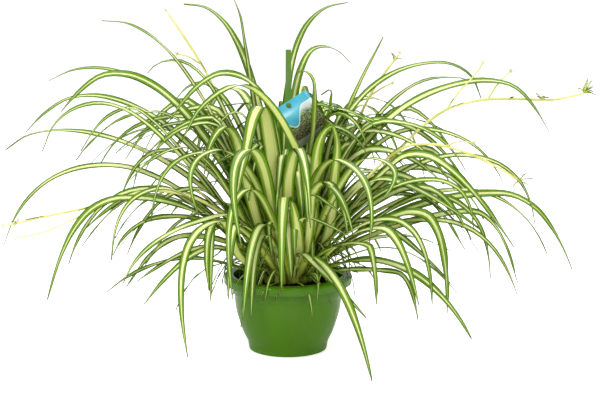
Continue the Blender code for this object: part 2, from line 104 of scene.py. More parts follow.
for light_name, (light_place, light_side, light_watts) in LIGHTS.items():
    make_light(light_name, light_place, light_side, light_watts)
world = bpy.data.worlds.new("white_surround")
world.use_nodes = True
surround = world.node_tree.nodes["Background"].inputs
surround["Color"].default_value = (1, 1, 1, 1)
seen = world.node_tree.nodes.new("ShaderNodeLightPath").outputs["Is Camera Ray"]
strength = world.node_tree.nodes.new("ShaderNodeMapRange")
strength.inputs["To Min"].default_value = WORLD_GLOW
strength.inputs["To Max"].default_value = WORLD_SEEN
world.node_tree.links.new(seen, strength.inputs["Value"])
world.node_tree.links.new(strength.outputs[0], surround["Strength"])
bpy.context.scene.world = world
print(len(LIGHTS), "soft lights and a white surround")

# %% [markdown]
# ## Helpers for materials
# A material is a small network. These helpers add one node with its values or wires, so each recipe below
# reads like a list of steps. Everything is worked out from the surface itself: its own coordinates, its own
# flat pattern (the UV map), or numbers stored on its points. So nothing slides when the object is turned.

# %% Node helpers
def rgb(red, green, blue):
    """A colour for a shader from the 0 to 255 values that a colour picker shows."""
    return tuple((channel / 255) ** 2.2 for channel in (red, green, blue)) + (1,)


def add_node(tree, kind, inputs=None, **settings):
    made = tree.nodes.new(kind)
    for key, value in settings.items():
        setattr(made, key, value)
    for key, value in (inputs or {}).items():
        if isinstance(value, bpy.types.NodeSocket):
            tree.links.new(value, made.inputs[key])
        else:
            made.inputs[key].default_value = value
    return made


def arithmetic(tree, operation, *values):
    return add_node(tree, "ShaderNodeMath", dict(enumerate(values)), operation=operation).outputs[0]


def mixed(tree, share, first, second):
    """first where share is 0 and second where it is 1, for colours."""
    return add_node(tree, "ShaderNodeMix", {0: share, 6: first, 7: second}, data_type="RGBA").outputs[2]


def ramp(tree, value, start, end, low=0.0, high=1.0):
    """A soft step: low below start, high above end."""
    inputs = {"Value": value, "From Min": start, "From Max": end, "To Min": low, "To Max": high}
    return add_node(tree, "ShaderNodeMapRange", inputs, interpolation_type="SMOOTHSTEP").outputs[0]


def noise(tree, where, scale, detail=3.0):
    made = add_node(tree, "ShaderNodeTexNoise", {"Vector": where, "Scale": scale, "Detail": detail})
    return made.outputs[0]


def stored(tree, name):
    """A number stored on the piece's own points."""
    return add_node(tree, "ShaderNodeAttribute", attribute_name=name).outputs["Fac"]


def new_group(name, inputs, outputs):
    """An empty node group with named sockets. Returns its tree, its input sockets and its output node."""
    tree = bpy.data.node_groups.new(name, "ShaderNodeTree")
    for socket_name, kind, value in inputs:
        socket = tree.interface.new_socket(socket_name, in_out="INPUT", socket_type=kind)
        if value is not None:
            socket.default_value = value
    for socket_name, kind in outputs:
        tree.interface.new_socket(socket_name, in_out="OUTPUT", socket_type=kind)
    entry = add_node(tree, "NodeGroupInput")
    return tree, entry.outputs, add_node(tree, "NodeGroupOutput")


def new_material(name, **constants):
    """A material with its Principled shader, whose own sockets hold what is the same all over."""
    made = bpy.data.materials.new(name)
    made.use_nodes = True
    shader = made.node_tree.nodes["Principled BSDF"]
    for key, value in constants.items():
        shader.inputs[key.replace("_", " ")].default_value = value
    return made, made.node_tree, shader


def bumped(tree, shader, height, distance, strength=1.0):
    made = add_node(tree, "ShaderNodeBump", {"Height": height, "Distance": distance, "Strength": strength})
    tree.links.new(made.outputs["Normal"], shader.inputs["Normal"])


print("node helpers ready")

# %% [markdown]
# ## The striped leaf
# A leaf is green at its margins and cream along the middle, and fine veins run the whole way. Paint would be
# flat, so the stripes come from the leaf's own map: one direction runs across the blade, the other along it.
# The map's edges never move on the blade, so a stripe follows every bend. Two finishes use it, the
# upper side and the duller underside, so it is a group that is built once and placed in both. The
# underside's green margins are paler, as on the real leaf, and painted lighter still: painted light that
# offsets the shade falling on that side.

# %% Leaf stripe group
FLOAT = "NodeSocketFloat"
COLOR = "NodeSocketColor"
stripe_tree, given, stripe_out = new_group(
    "leaf_stripes",
    [
        ("Margin", COLOR, rgb(100, 138, 20)),
        ("Deep margin", COLOR, rgb(50, 80, 6)),
        ("Centre", COLOR, rgb(234, 238, 168)),
        ("Base", COLOR, rgb(186, 200, 74)),
        ("Tip", COLOR, rgb(112, 96, 52)),
    ],
    [("Color", COLOR), ("Height", FLOAT), ("Streaks", FLOAT)],
)
calc, soft_step, blend = (partial(helper, stripe_tree) for helper in (arithmetic, ramp, mixed))
flat_map = add_node(stripe_tree, "ShaderNodeUVMap", uv_map="blade")
split_map = add_node(stripe_tree, "ShaderNodeSeparateXYZ", {"Vector": flat_map.outputs["UV"]})
across, along = split_map.outputs["X"], split_map.outputs["Y"]
seed = stored(stripe_tree, "leaf_seed")
tone = stored(stripe_tree, "leaf_tone")
share = stored(stripe_tree, "centre_share")
vein_place = add_node(
    stripe_tree,
    "ShaderNodeCombineXYZ",
    {
        "X": calc("MULTIPLY", across, 15.0),
        "Y": calc("MULTIPLY", along, 1.6),
        "Z": calc("MULTIPLY", seed, 31.0),
    },
).outputs[0]
veins = noise(stripe_tree, vein_place, 1.0, 2.0)
fine_veins = noise(stripe_tree, vein_place, 3.1, 2.0)
drift_place = add_node(
    stripe_tree,
    "ShaderNodeCombineXYZ",
    {"X": calc("MULTIPLY", along, 3.5), "Y": seed, "Z": 4.0},
).outputs[0]
drift = calc("MULTIPLY_ADD", noise(stripe_tree, drift_place, 1.0), 0.16, -0.08)
middle = calc("ADD", calc("SUBTRACT", across, 0.5), drift)
from_middle = calc("MULTIPLY", calc("ABSOLUTE", middle), 2.0)
ragged = calc("MULTIPLY_ADD", veins, 0.34, -0.17)
from_middle = calc("ADD", from_middle, ragged)
print("the stripe group has", len(stripe_tree.nodes), "nodes so far")

# %% Leaf stripe colours
narrowing = soft_step(along, 0.45, 1.0, 1.0, 0.2)
past_centre = calc("SUBTRACT", from_middle, calc("MULTIPLY", share, narrowing))
green_share = soft_step(past_centre, -0.1, 0.12)
inner_lines = arithmetic(
    stripe_tree,
    "MULTIPLY",
    soft_step(veins, 0.56, 0.63),
    soft_step(past_centre, -0.45, -0.1),
)
inner_lines = calc("MULTIPLY", inner_lines, 0.55)
green_share = calc("MAXIMUM", green_share, inner_lines)
pale_line = arithmetic(
    stripe_tree,
    "MULTIPLY",
    soft_step(fine_veins, 0.6, 0.68),
    soft_step(past_centre, 0.32, 0.12),
)
green_share = calc("SUBTRACT", green_share, calc("MULTIPLY", pale_line, 0.65))
edge_share = soft_step(calc("ABSOLUTE", middle), 0.33, 0.5)
deep_share = calc("MULTIPLY_ADD", fine_veins, 0.5, edge_share)
deep_share = calc("SUBTRACT", deep_share, 0.28)
deep_share = calc("MULTIPLY_ADD", tone, -0.5, deep_share)
deep_share = soft_step(deep_share, -0.3, 0.66)
margin = blend(deep_share, given["Margin"], given["Deep margin"])
striped = blend(green_share, given["Centre"], margin)
paleness = calc("MULTIPLY_ADD", green_share, -0.35, soft_step(along, 0.44, 0.04))
striped = blend(soft_step(paleness, 0.0, 1.0), striped, given["Base"])
tip_start = calc("MULTIPLY_ADD", seed, -0.05, 0.995)
tip_share = soft_step(along, tip_start, 1.0)
tip_share = calc("MULTIPLY", tip_share, 0.85)
leaf_color = blend(tip_share, striped, given["Tip"])
stripe_tree.links.new(leaf_color, stripe_out.inputs["Color"])
stripe_tree.links.new(fine_veins, stripe_out.inputs["Streaks"])
vein_height = calc("MULTIPLY_ADD", veins, 0.6, fine_veins)
stripe_tree.links.new(vein_height, stripe_out.inputs["Height"])
print("the stripe group has", len(stripe_tree.nodes), "nodes")


# %% Leaf finishes
def leaf_finish(name, colors, roughness, gloss):
    made, tree, shader = new_material(name, Specular_IOR_Level=gloss, Subsurface_Weight=0.12,
                                      Subsurface_Scale=0.002)
    shader.inputs["Subsurface Radius"].default_value = (0.6, 1.0, 0.2)
    stripes = add_node(tree, "ShaderNodeGroup", colors, node_tree=stripe_tree)
    tree.links.new(stripes.outputs["Color"], shader.inputs["Base Color"])
    satin = arithmetic(tree, "MULTIPLY_ADD", stripes.outputs["Streaks"], 0.22, roughness - 0.11)
    tree.links.new(satin, shader.inputs["Roughness"])
    bumped(tree, shader, stripes.outputs["Height"], 0.25 * MM, 0.6)
    return made


leaf_top = leaf_finish("leaf_upper_side", {}, 0.4, 0.22)
# Underside colours: the green margins are paler, as on the real leaf, and painted lighter still, as painted
# light against the shade that falls on the side turned from the lamps.
underside_pale_and_painted_lighter = {
    "Margin": rgb(124, 158, 40),
    "Deep margin": rgb(78, 112, 16),
    "Centre": rgb(218, 224, 138),
    "Base": rgb(196, 208, 84),
}
leaf_under_pale_and_painted_lighter = leaf_finish("leaf_underside_pale_and_painted_lighter", underside_pale_and_painted_lighter, 0.52, 0.18)
print("two leaf finishes made")

# %% [markdown]
# ## Building a blade
# A blade is a long strip: a folded gutter where it leaves the crown, flatter and wider past the middle, and
# drawn out to a point. One way is to draw each outline and bend it by hand. Here a flat grid, which already
# has its own map, is laid along a smooth line instead, so one helper makes every leaf from
# its line, its width and the way that it faces. A Solidify modifier then gives it a real thickness.

# %% Smooth lines
def curve_through(knots, count):
    """count points at even distances along a smooth curve through the knots."""
    knots = [2 * knots[0] - knots[1]] + list(knots) + [2 * knots[-1] - knots[-2]]
    fine = []
    for a, b, c, d in zip(knots, knots[1:], knots[2:], knots[3:]):
        for step in range(10):
            s = step / 10
            bend = (2 * a - 5 * b + 4 * c - d) * s**2 + (3 * b - a - 3 * c + d) * s**3
            fine.append(0.5 * (2 * b + (c - a) * s + bend))
    return evenly(fine + [knots[-2]], count)


def evenly(points, count):
    reach = [0.0]
    for before, after in zip(points, points[1:]):
        reach.append(reach[-1] + (after - before).length)
    spaced = []
    leg = 0
    for step in range(count):
        wanted = reach[-1] * step / (count - 1)
        while leg < len(points) - 2 and reach[leg + 1] < wanted:
            leg += 1
        part = (wanted - reach[leg]) / max(reach[leg + 1] - reach[leg], 1e-9)
        spaced.append(points[leg].lerp(points[leg + 1], part))
    return spaced


def between(values, share):
    """The value at a share, from 0 to 1, of an even list of values."""
    place = share * (len(values) - 1)
    low = min(int(place), len(values) - 2)
    return values[low] + (values[low + 1] - values[low]) * (place - low)


def smooth_step(value, start, end):
    part = min(max((value - start) / (end - start), 0), 1)
    return part * part * (3 - 2 * part)


print("line helpers ready")

# %% Laying a grid along a line
STRIPS_ACROSS = 8
BLADE_THICKNESS = 0.55 * MM


def lay_blade(mesh, line, side, widths, facing=0.0, face_to=(0, -1, 0), tone=0.5, centre=0.45, gutter=0.2):
    """Adds one blade to a bmesh. facing turns its upper face towards face_to, from a third of the way up."""
    stations = len(line)
    put = {name: mesh.verts.layers.float[name] for name in ("leaf_seed", "leaf_tone", "centre_share")}
    ripple, ripple_turns = chance.uniform(0.2, 1.0) * MM, chance.uniform(3, 7)
    seed_value = chance.random()
    strip = bmesh.ops.create_grid(mesh, x_segments=STRIPS_ACROSS, y_segments=stations - 1, size=0.5,
                                  calc_uvs=True)["verts"]
    for vert in strip:
        off, along_share = vert.co.x, vert.co.y + 0.5
        index = min(max(round(along_share * (stations - 1)), 0), stations - 1)
        run = (line[min(index + 1, stations - 1)] - line[max(index - 1, 0)]).normalized()
        across_way = (side - run * side.dot(run)).normalized()
        upper = across_way.cross(run).normalized()
        view = Vector(face_to) - run * run.dot(Vector(face_to))
        upper = (upper + view * facing * smooth_step(along_share, 0.1, 0.45)).normalized()
        across_way = run.cross(upper).normalized()
        width = between(widths, along_share)
        fold = gutter * (1.4 - 1.1 * smooth_step(along_share, 0.1, 0.6))
        lift = fold * width * 2 * (math.sqrt(off * off + 0.004) - 0.063)
        wave = ripple * math.sin(ripple_turns * math.tau * along_share + 9 * off) * abs(off) * 2
        vert.co = line[index] + across_way * off * width + upper * (lift + wave)
        vert[put["leaf_seed"]] = seed_value
        vert[put["leaf_tone"]] = tone
        vert[put["centre_share"]] = centre
    return strip


def new_blades():
    """An empty bmesh with the blade's map and the numbers that its stripes read."""
    mesh = bmesh.new()
    mesh.loops.layers.uv.new("blade")
    for name in ("leaf_seed", "leaf_tone", "centre_share"):
        mesh.verts.layers.float.new(name)
    return mesh


def place_piece(name, mesh, finishes, slot, *replaced):
    """Turns a bmesh into a smooth-shaded piece that rides with the plant."""
    data = bpy.data.meshes.new(name)
    mesh.to_mesh(data)
    mesh.free()
    for finish in finishes:
        data.materials.append(finish)
    data.shade_smooth()
    piece = bpy.data.objects.new(name, data)
    bpy.context.scene.collection.objects.link(piece)
    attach(piece, "root")
    if replaced:
        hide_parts(*replaced)
    return piece


def place_blades(name, mesh, *replaced):
    piece = place_piece(name, mesh, [leaf_top, leaf_under_pale_and_painted_lighter], "leaf_blade", *replaced)
    solid = piece.modifiers.new("thickness", "SOLIDIFY")
    solid.thickness = BLADE_THICKNESS
    solid.offset = -1
    solid.material_offset = 1
    return piece


print("a blade is", STRIPS_ACROSS, "strips across")

# %% [markdown]
# ## The forty-eight long leaves
# The measured model has each long leaf as a plain solid with four corners to a ring. Its line and width are
# read back from those rings, so the finer leaf has the same line and the same width. Reading the mesh is
# better than typing the same numbers again: if the measured leaf moves, the fine one moves with it.

# %% Reading a leaf's rings
ROOT_HEIGHT = 107.6 * MM
ROOT_REACH = 50 * MM


def in_root_ring(vert):
    return abs(vert.co.z - ROOT_HEIGHT) < MM and vert.co.xy.length < ROOT_REACH


def rings_of(node):
    """The rings of a measured leaf from root to tip, each as (middle, left edge, right edge)."""
    mesh = bmesh.new()
    mesh.from_mesh(nodes[node].data)
    bmesh.ops.remove_doubles(mesh, verts=mesh.verts, dist=0.01 * MM)
    root = [vert for vert in mesh.verts if in_root_ring(vert)]
    layers, seen = [root], set(root)
    while True:
        linked = {edge.other_vert(vert) for vert in layers[-1] for edge in vert.link_edges} - seen
        if not linked:
            break
        layers.append(next_ring(layers[-1], linked))
        seen |= set(layers[-1])
    rings = [ring_parts(layer) for layer in layers]
    mesh.free()
    return rings


def next_ring(ring, linked):
    """The four linked corners nearest to the ring, because a triangle's long edge can reach no further."""
    middle = sum((vert.co for vert in ring), Vector()) / len(ring)
    return sorted(linked, key=lambda vert: (vert.co - middle).length)[:4]


def ring_parts(layer):
    corners = [vert.co.copy() for vert in layer]
    pairs = [(a, b) for a in range(4) for b in range(a)]
    left, right = max(pairs, key=lambda pair: (corners[pair[0]] - corners[pair[1]]).length)
    inner = [corners[index] for index in range(4) if index not in (left, right)]
    return (inner[0] + inner[1]) / 2, corners[left], corners[right]


leaf_names = sorted(name for name in nodes if name.startswith("leaf_"))
leaf_rings = {name: rings_of(name) for name in leaf_names}
print(len(leaf_rings), "leaves read, with", {len(rings) for rings in leaf_rings.values()}, "rings each")

# %% Fine leaves in place of the plain ones
# FACING says how far a leaf, by its number, turns its upper side to the front. The others draw theirs.
BLADE_STATIONS = 44
ROOT_DROP = Vector((0, 0, -7 * MM))
FACING = {1: 0.5, 2: 1.0, 5: 0.8, 18: 0.9}


def fine_leaf(name):
    rings = leaf_rings[name]
    middles = [ring[0] for ring in rings]
    start = middles[0] + ROOT_DROP - Vector((middles[0].x, middles[0].y, 0)) * 0.12
    line = curve_through([start] + middles, BLADE_STATIONS)
    widths = [(ring[1] - ring[2]).length for ring in rings]
    widths = [widths[0]] + widths[:-1] + [0.4 * MM]
    run = middles[-1] - middles[0]
    side = Vector((run.x, run.y, 0)).normalized().cross(Vector((0, 0, 1)))
    sideways = abs(run.x) / Vector((run.x, run.y)).length
    number = int(name[-2:])
    facing = FACING.get(number, chance.uniform(0.45, 1.0) * sideways**2)
    mesh = new_blades()
    lay_blade(mesh, line, side, widths, facing, tone=chance.uniform(0.2, 0.9),
              centre=chance.uniform(0.3, 0.54))
    return place_blades(f"blade_{number:02d}", mesh, name)


fine_leaves = [fine_leaf(name) for name in leaf_names]
print(len(fine_leaves), "fine leaves made")

# %% [markdown]
# ## The leaves between
# A grown plant has well over a hundred leaves, and the short and half-hidden ones make it look full. Each
# follows two joined curves, up from the crown to its highest point and then over to its tip. They are
# scattered by a seeded random draw, so they come out the same each time, and joined into tufts by
# direction, because a tuft is one clump of growth on the real plant as well.

# %% A leaf's line from its highest point and tip
ROOT_LEVEL = 101 * MM


def bent(start, corner, end, steps=20):
    shares = [step / steps for step in range(steps + 1)]
    return [start * (1 - s) ** 2 + corner * (2 * s * (1 - s)) + end * s**2 for s in shares]


def arch(direction, peak, tip, rise=0.45, drop=0.7, swing=0.0, root=0.02):
    """A line from the crown, with peak and tip as (out, up) in centimetres and directions in degrees."""
    heading = math.radians(direction)
    out = Vector((math.cos(heading), math.sin(heading), 0))
    up = Vector((0, 0, CM))
    start = out * root + Vector((0, 0, ROOT_LEVEL))
    high = out * peak[0] * CM + up * peak[1]
    end = Matrix.Rotation(math.radians(swing), 3, "Z") @ out * tip[0] * CM + up * tip[1]
    rising = root / CM + rise * (peak[0] - root / CM)
    falling = peak[0] + drop * (tip[0] - peak[0])
    first = bent(start, out * rising * CM + up * peak[1], high)
    second = bent(high, out * falling * CM + up * peak[1], end)
    return first + second[1:]


def blade_widths(widest, base=7 * MM):
    """A narrow sheath, a full middle and a long taper, as a list from root to tip."""
    widths = []
    for step in range(20):
        place = step / 19
        if place < 0.4:
            widths.append(base + (widest - base) * math.sin(math.pi / 2 * place / 0.4))
        else:
            widths.append(widest * (1 - 0.94 * ((place - 0.4) / 0.6) ** 2.6))
    return widths


def add_arching_leaf(mesh, direction, peak, tip, width, facing=0.0, root=0.02, tone=0.5, centre=0.45, **bend):
    line = evenly(arch(direction, peak, tip, root=root, **bend), 30)
    heading = math.radians(direction)
    side = Vector((math.sin(heading), -math.cos(heading), 0))
    lay_blade(mesh, line, side, blade_widths(width * MM), facing, tone=tone, centre=centre)


print("arching leaves ready")

# %% Tufts by direction
SECTORS = 12
LEAVES_PER_TUFT = 14
LEAVES_PER_FRONT_TUFT = 5
SECTOR_TURN = 360 / SECTORS
FRONT = 270


def turned_from_front(direction):
    return abs((direction - FRONT + 180) % 360 - 180)


def scattered_leaf(mesh, direction):
    """One leaf of the dense middle. Those towards the front stay short, so they don't hide the long ones."""
    near_front = turned_from_front(direction) < 50
    kind = chance.random()
    tone, centre = chance.uniform(0.1, 1.0), chance.uniform(0.32, 0.6)
    if kind < 0.4:
        peak_out, peak_up, width = chance.uniform(3, 10), chance.uniform(27, 37), chance.uniform(12, 18)
        reach, fall = chance.uniform(3, 9), chance.uniform(1, 7)
    elif kind < 0.86:
        peak_out, peak_up, width = chance.uniform(10, 20), chance.uniform(22, 35), chance.uniform(10, 16)
        reach, fall = chance.uniform(6, 13), chance.uniform(3, 10)
    else:
        peak_out, peak_up, width = chance.uniform(9, 17), chance.uniform(13, 21), chance.uniform(9, 14)
        reach, fall = chance.uniform(6, 12), chance.uniform(3, 9)
    if near_front:
        peak_out, reach = chance.uniform(3, 7), chance.uniform(1.5, 3.5)
        peak_up, fall = chance.uniform(18, 30), chance.uniform(3, 8)
    sideways = abs(math.cos(math.radians(direction)))
    add_arching_leaf(mesh, direction, (peak_out, peak_up), (peak_out + reach, peak_up - fall), width,
                     facing=chance.uniform(-0.2, 0.9) * sideways, root=chance.uniform(6, 36) * MM, tone=tone,
                     centre=centre, rise=chance.uniform(0.4, 0.75), drop=chance.uniform(0.35, 0.65),
                     swing=chance.uniform(-8, 8))


tufts = []
for sector in range(SECTORS):
    tuft = new_blades()
    towards_front = turned_from_front(SECTOR_TURN * (sector + 0.5)) < 50
    for _ in range(LEAVES_PER_FRONT_TUFT if towards_front else LEAVES_PER_TUFT):
        scattered_leaf(tuft, SECTOR_TURN * (sector + chance.random()))
    tufts.append(place_blades(f"tuft_{sector + 1:02d}", tuft))
print(len(tufts), "tufts made")

# %% [markdown]
# ## Chosen leaves
# A random draw can't place the leaves that give this plant its look: the broad ones folded over in front,
# and the bright ones that hang past the rim. These are listed one by one, by highest point and tip.

# %% Listed arching leaves
LISTED = [
    (172, (15.8, 40.7), (19.8, 38.8), 10, {}),
    (16, (22.5, 37.8), (26.8, 37.2), 9, {}),
    (200, (17.7, 20.2), (25.2, 15.4), 13, {}),
    (10, (24, 22), (38, 12), 10, {}),
    (330, (17, 13), (20.5, 6.5), 12, {}),
    (310, (16.7, 17.7), (18.6, 9.9), 13, {}),
    (293, (13, 26), (22, 20.3), 15, {}),
    (250, (10, 19.7), (17, 8.5), 14, {}),
    (285, (9, 15.4), (22, 9.4), 12, {"swing": 13}),
    (225, (14.1, 20), (14.7, 9.4), 12, {"rise": 0.6}),
    (240, (13.8, 20.2), (15.8, 10.4), 14, {"rise": 0.6}),
    (251, (10.6, 18.3), (14.9, 8), 13, {"rise": 0.5}),
    (329, (7.8, 34.3), (12.5, 30), 17, {}),
    (204, (12, 33), (21, 27), 13, {}),
    (188, (15, 33.5), (26, 27), 13, {}),
    (346, (14, 33), (25, 26.5), 13, {}),
    (358, (18, 31.5), (30, 24), 12, {}),
    (196, (20, 24), (31, 14), 13, {}),
    (340, (22, 20), (33, 10.5), 12, {}),
]
listed = new_blades()
for direction, peak, tip, width, bend in LISTED:
    sideways = abs(math.cos(math.radians(direction)))
    add_arching_leaf(listed, direction, peak, tip, width, facing=0.5 * sideways,
                     tone=chance.uniform(0.2, 0.8), centre=chance.uniform(0.35, 0.55), **bend)
place_blades("listed_leaves", listed)
print(len(LISTED), "listed leaves made")

# %% Broad leaves of the middle
# Each is (width in millimetres, knots from root to tip in centimetres).
MIDDLE = {
    "spear": (7, [
        (2, 1.5, 10.1), (4.6, 2.2, 21), (7.6, 2.8, 31.5), (10.4, 3, 38.2), (13.3, 3.2, 43.8),
    ]),
    "broad_left": (21, [
        (-0.4, -1.5, 10.1), (-1.4, -5, 23), (-2.6, -6.2, 32.4), (-3.5, -7.6, 35.6), (-4.6, -9.4, 34.3),
        (-5.5, -11, 30.2), (-6.3, -12.2, 26.6), (-6.9, -12.9, 23),
    ]),
    "folded_front": (17, [
        (0.3, -2, 10.1), (0.1, -8, 23.3), (0.6, -9.5, 28.2), (1.3, -11, 30.2), (2.1, -12.6, 29.4),
        (2.5, -14, 25.4), (2.7, -15, 21.3),
    ]),
    "pale_front": (16, [
        (1.6, -2.4, 10.1), (1.7, -5.5, 13.7), (1.4, -8, 18.4), (0.9, -9.6, 21.8), (0.5, -10.8, 23.3),
        (0.2, -11.6, 22.7),
    ]),
    "arch_right": (13, [
        (1.8, -2.6, 10.1), (2.9, -7.5, 17.9), (3.4, -10.5, 23.9), (4.9, -12.5, 26.2), (6.4, -14, 25.4),
        (7.5, -15.4, 22.7), (8, -16, 19.6),
    ]),
    "sweep_high": (10, [
        (1.4, -2.6, 10.1), (2.5, -7.5, 19.7), (3.4, -10.5, 23.9), (5.4, -12.6, 23.3), (7.5, -13.5, 21.8),
    ]),
    "sweep_low": (9, [
        (1.2, -2.8, 10.1), (1.6, -7.5, 18.3), (2.2, -9.5, 20.7), (4.6, -11.8, 20.6), (8, -13, 19.1),
    ]),
    "card_right": (18, [
        (1.6, -2.4, 10.1), (3.2, -5.2, 18.4), (3.6, -5.8, 24.6), (4.3, -6.4, 30.4), (5.8, -7, 32.8),
        (7.8, -7.6, 32.9),
    ]),
    "far_right": (16, [
        (2.4, -1.6, 10.1), (5.6, -4.2, 17.2), (6.3, -4.6, 24.4), (6.8, -4.8, 29.6), (6.2, -5.2, 32.5),
        (5.1, -5.6, 33.5),
    ]),
    "crossing": (11, [
        (1.2, -3, 10.1), (1.8, -5.4, 22), (1.5, -6, 28.2), (0.3, -6.8, 31.6), (-1.5, -7.4, 34.8),
        (-3.6, -8.2, 37.4), (-5.4, -8.8, 38.5), (-7.2, -9.4, 38.6), (-9.4, -10, 37.6),
        (-12, -10.8, 35.2), (-14.2, -11.4, 31),
    ]),
    "upright_left": (17, [
        (-1.6, -1.8, 10.1), (-4.4, -4.6, 20), (-6.2, -5.4, 28), (-7.4, -6, 31.8), (-8.8, -7, 32.6),
        (-10.4, -8, 30.4), (-11.2, -8.6, 26.5),
    ]),
    "low_left": (13, [
        (-2.2, -2, 10.1), (-6.5, -6.5, 14.5), (-8, -9.5, 19.3), (-9.4, -11.5, 21), (-10.4, -13.2, 19.5),
        (-10.7, -14, 15.6), (-10.4, -14.4, 11.8),
    ]),
}
for name, (width, knots) in MIDDLE.items():
    broad = new_blades()
    line = curve_through([Vector(knot) * CM for knot in knots], 36)
    lay_blade(broad, line, Vector((-1, 0, 0)), blade_widths(width * MM, 9 * MM),
              tone=chance.uniform(0.3, 0.9), centre=chance.uniform(0.5, 0.62), gutter=0.14)
    place_blades(f"middle_{name}", broad)
print(len(MIDDLE), "broad leaves made")

# %% Thin young leaves at the rim
RIM_LEAVES = [
    (249, (7.5, 10.5), (10.4, 9.4)),
    (261, (7.1, 10.4), (10, 9.1)),
    (252, (5.3, 12.4), (9.8, 9.2)),
    (289, (7.4, 10.5), (10.5, 6.6)),
    (236, (7.3, 12.9), (11.4, 5.5)),
    (229, (7.9, 12.4), (11.6, 9.4)),
    (198, (9, 12.9), (16.3, 6.7)),
    (347, (9.2, 12.9), (13, 9)),
]
YOUNG_LEAVES = 56
young = new_blades()
for direction, peak, tip in RIM_LEAVES:
    add_arching_leaf(young, direction, peak, tip, chance.uniform(4, 6), root=34 * MM, tone=0.4, centre=0.3)
for _ in range(YOUNG_LEAVES):
    direction = chance.choice((chance.uniform(176, 256), chance.uniform(296, 366), chance.uniform(0, 360)))
    peak = (chance.uniform(5, 8.5), chance.uniform(11.4, 17))
    tip = (peak[0] + chance.uniform(0.8, 3.4), peak[1] - chance.uniform(1, 5))
    add_arching_leaf(young, direction, peak, tip, chance.uniform(3, 6), root=chance.uniform(22, 44) * MM,
                     facing=chance.uniform(-0.5, 0.5), tone=chance.uniform(0, 0.6),
                     centre=chance.uniform(0.15, 0.45), rise=chance.uniform(0.3, 0.7),
                     swing=chance.uniform(-25, 25))
place_blades("young_leaves", young)
print(len(RIM_LEAVES) + YOUNG_LEAVES, "young leaves made")

# %% [markdown]
# ## Small shared effects
# Moulded plastic is never quite even: it has a fine grain, faint scuffs, and a little dust. The
# pot, stake and peg all need that, each in its own strength, so it is one group with a strength input.

# %% Plastic wear group
wear_tree, wear_in, wear_out = new_group(
    "plastic_wear",
    [
        ("Color", COLOR, rgb(128, 128, 128)),
        ("Dust", FLOAT, 0.1),
        ("Grain scale", FLOAT, 900.0),
        ("Roughness", FLOAT, 0.3),
    ],
    [("Color", COLOR), ("Roughness", FLOAT), ("Height", FLOAT)],
)
place = add_node(wear_tree, "ShaderNodeTexCoord").outputs["Object"]
grain = noise(wear_tree, place, wear_in["Grain scale"], 2.0)
clouds = noise(wear_tree, place, 22.0, 5.0)
specks = ramp(wear_tree, noise(wear_tree, place, 240.0, 2.0), 0.66, 0.74)
smudge = ramp(wear_tree, clouds, 0.42, 0.72)
dusty = arithmetic(wear_tree, "MULTIPLY_ADD", specks, 0.5, smudge)
dusty = arithmetic(wear_tree, "MULTIPLY", dusty, wear_in["Dust"])
worn = mixed(wear_tree, dusty, wear_in["Color"], rgb(176, 172, 150))
wear_tree.links.new(worn, wear_out.inputs["Color"])
rubbed = arithmetic(wear_tree, "MULTIPLY_ADD", clouds, 0.16, wear_in["Roughness"])
rubbed = arithmetic(wear_tree, "MULTIPLY_ADD", dusty, 0.5, rubbed)
wear_tree.links.new(rubbed, wear_out.inputs["Roughness"])
wear_tree.links.new(grain, wear_out.inputs["Height"])


def plastic_finish(name, color, roughness, dust, **constants):
    made, tree, shader = new_material(name, **constants)
    inputs = {"Color": color, "Dust": dust, "Roughness": roughness}
    wear = add_node(tree, "ShaderNodeGroup", inputs, node_tree=wear_tree)
    tree.links.new(wear.outputs["Color"], shader.inputs["Base Color"])
    tree.links.new(wear.outputs["Roughness"], shader.inputs["Roughness"])
    bumped(tree, shader, wear.outputs["Height"], 0.02 * MM, 0.5)
    return made


pot_plastic = plastic_finish("glossy_pot_plastic", rgb(76, 122, 4), 0.07, 0.02, Specular_IOR_Level=0.26)
stake_plastic = plastic_finish("stake_plastic", rgb(84, 128, 34), 0.34, 0.1)
print("the wear group has", len(wear_tree.nodes), "nodes")

# %% [markdown]
# ## The pot
# The pot is a bowl with a collar and a wide lip that turns down like a skirt. It is round, so it is turned on
# the spot: its cut outline is drawn once, inside and out, and spun. A lathe outline also keeps the wall
# an even thickness. The drain holes are cut last, through the floor.

# %% Turning shapes
def arc(radius_at, height_at, round_radius, start, end, count):
    """Points (radius, height) along a round corner, from one angle to another in degrees."""
    turned = [math.radians(start + (end - start) * step / count) for step in range(count + 1)]
    return [(radius_at + round_radius * math.cos(a), height_at + round_radius * math.sin(a)) for a in turned]


def turned(outline, steps):
    """A bmesh spun round Z from an outline of (radius, height) in millimetres."""
    mesh = bmesh.new()
    corners = [mesh.verts.new((radius * MM, 0, height * MM)) for radius, height in outline]
    edges = [mesh.edges.new(pair) for pair in zip(corners, corners[1:])]
    bmesh.ops.spin(mesh, geom=corners + edges, axis=(0, 0, 1), cent=(0, 0, 0), angle=math.tau, steps=steps,
                   use_merge=True)
    bmesh.ops.remove_doubles(mesh, verts=mesh.verts, dist=0.005 * MM)
    bmesh.ops.recalc_face_normals(mesh, faces=mesh.faces)
    return mesh


def sharpen(piece, degrees):
    """Keeps edges crisp where the surface turns by more than this."""
    piece.data.set_sharp_from_angle(angle=math.radians(degrees))


print("turning helpers ready")

# %% Pot outline
POT_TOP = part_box("pot")[1].z / MM
LIP_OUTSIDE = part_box("pot")[1].x / MM
WALL = 1.8
COLLAR_OUTSIDE = 78.0
LIP_BOTTOM = POT_TOP - 12
COLLAR_BOTTOM = 82.7
FLOOR_TOP = 2.2
BOWL = [(51, 0.4), (52.6, 0.1), (54.4, 0.7), (55, 1.6), (55.2, 3), (55.6, 5), (56.8, 12), (59.7, 18),
        (63, 24.5), (66.5, 34), (69.4, 43.5), (71.8, 51.5), (73.6, 59.5), (74.9, 68), (75.8, 77), (76.0, 80)]

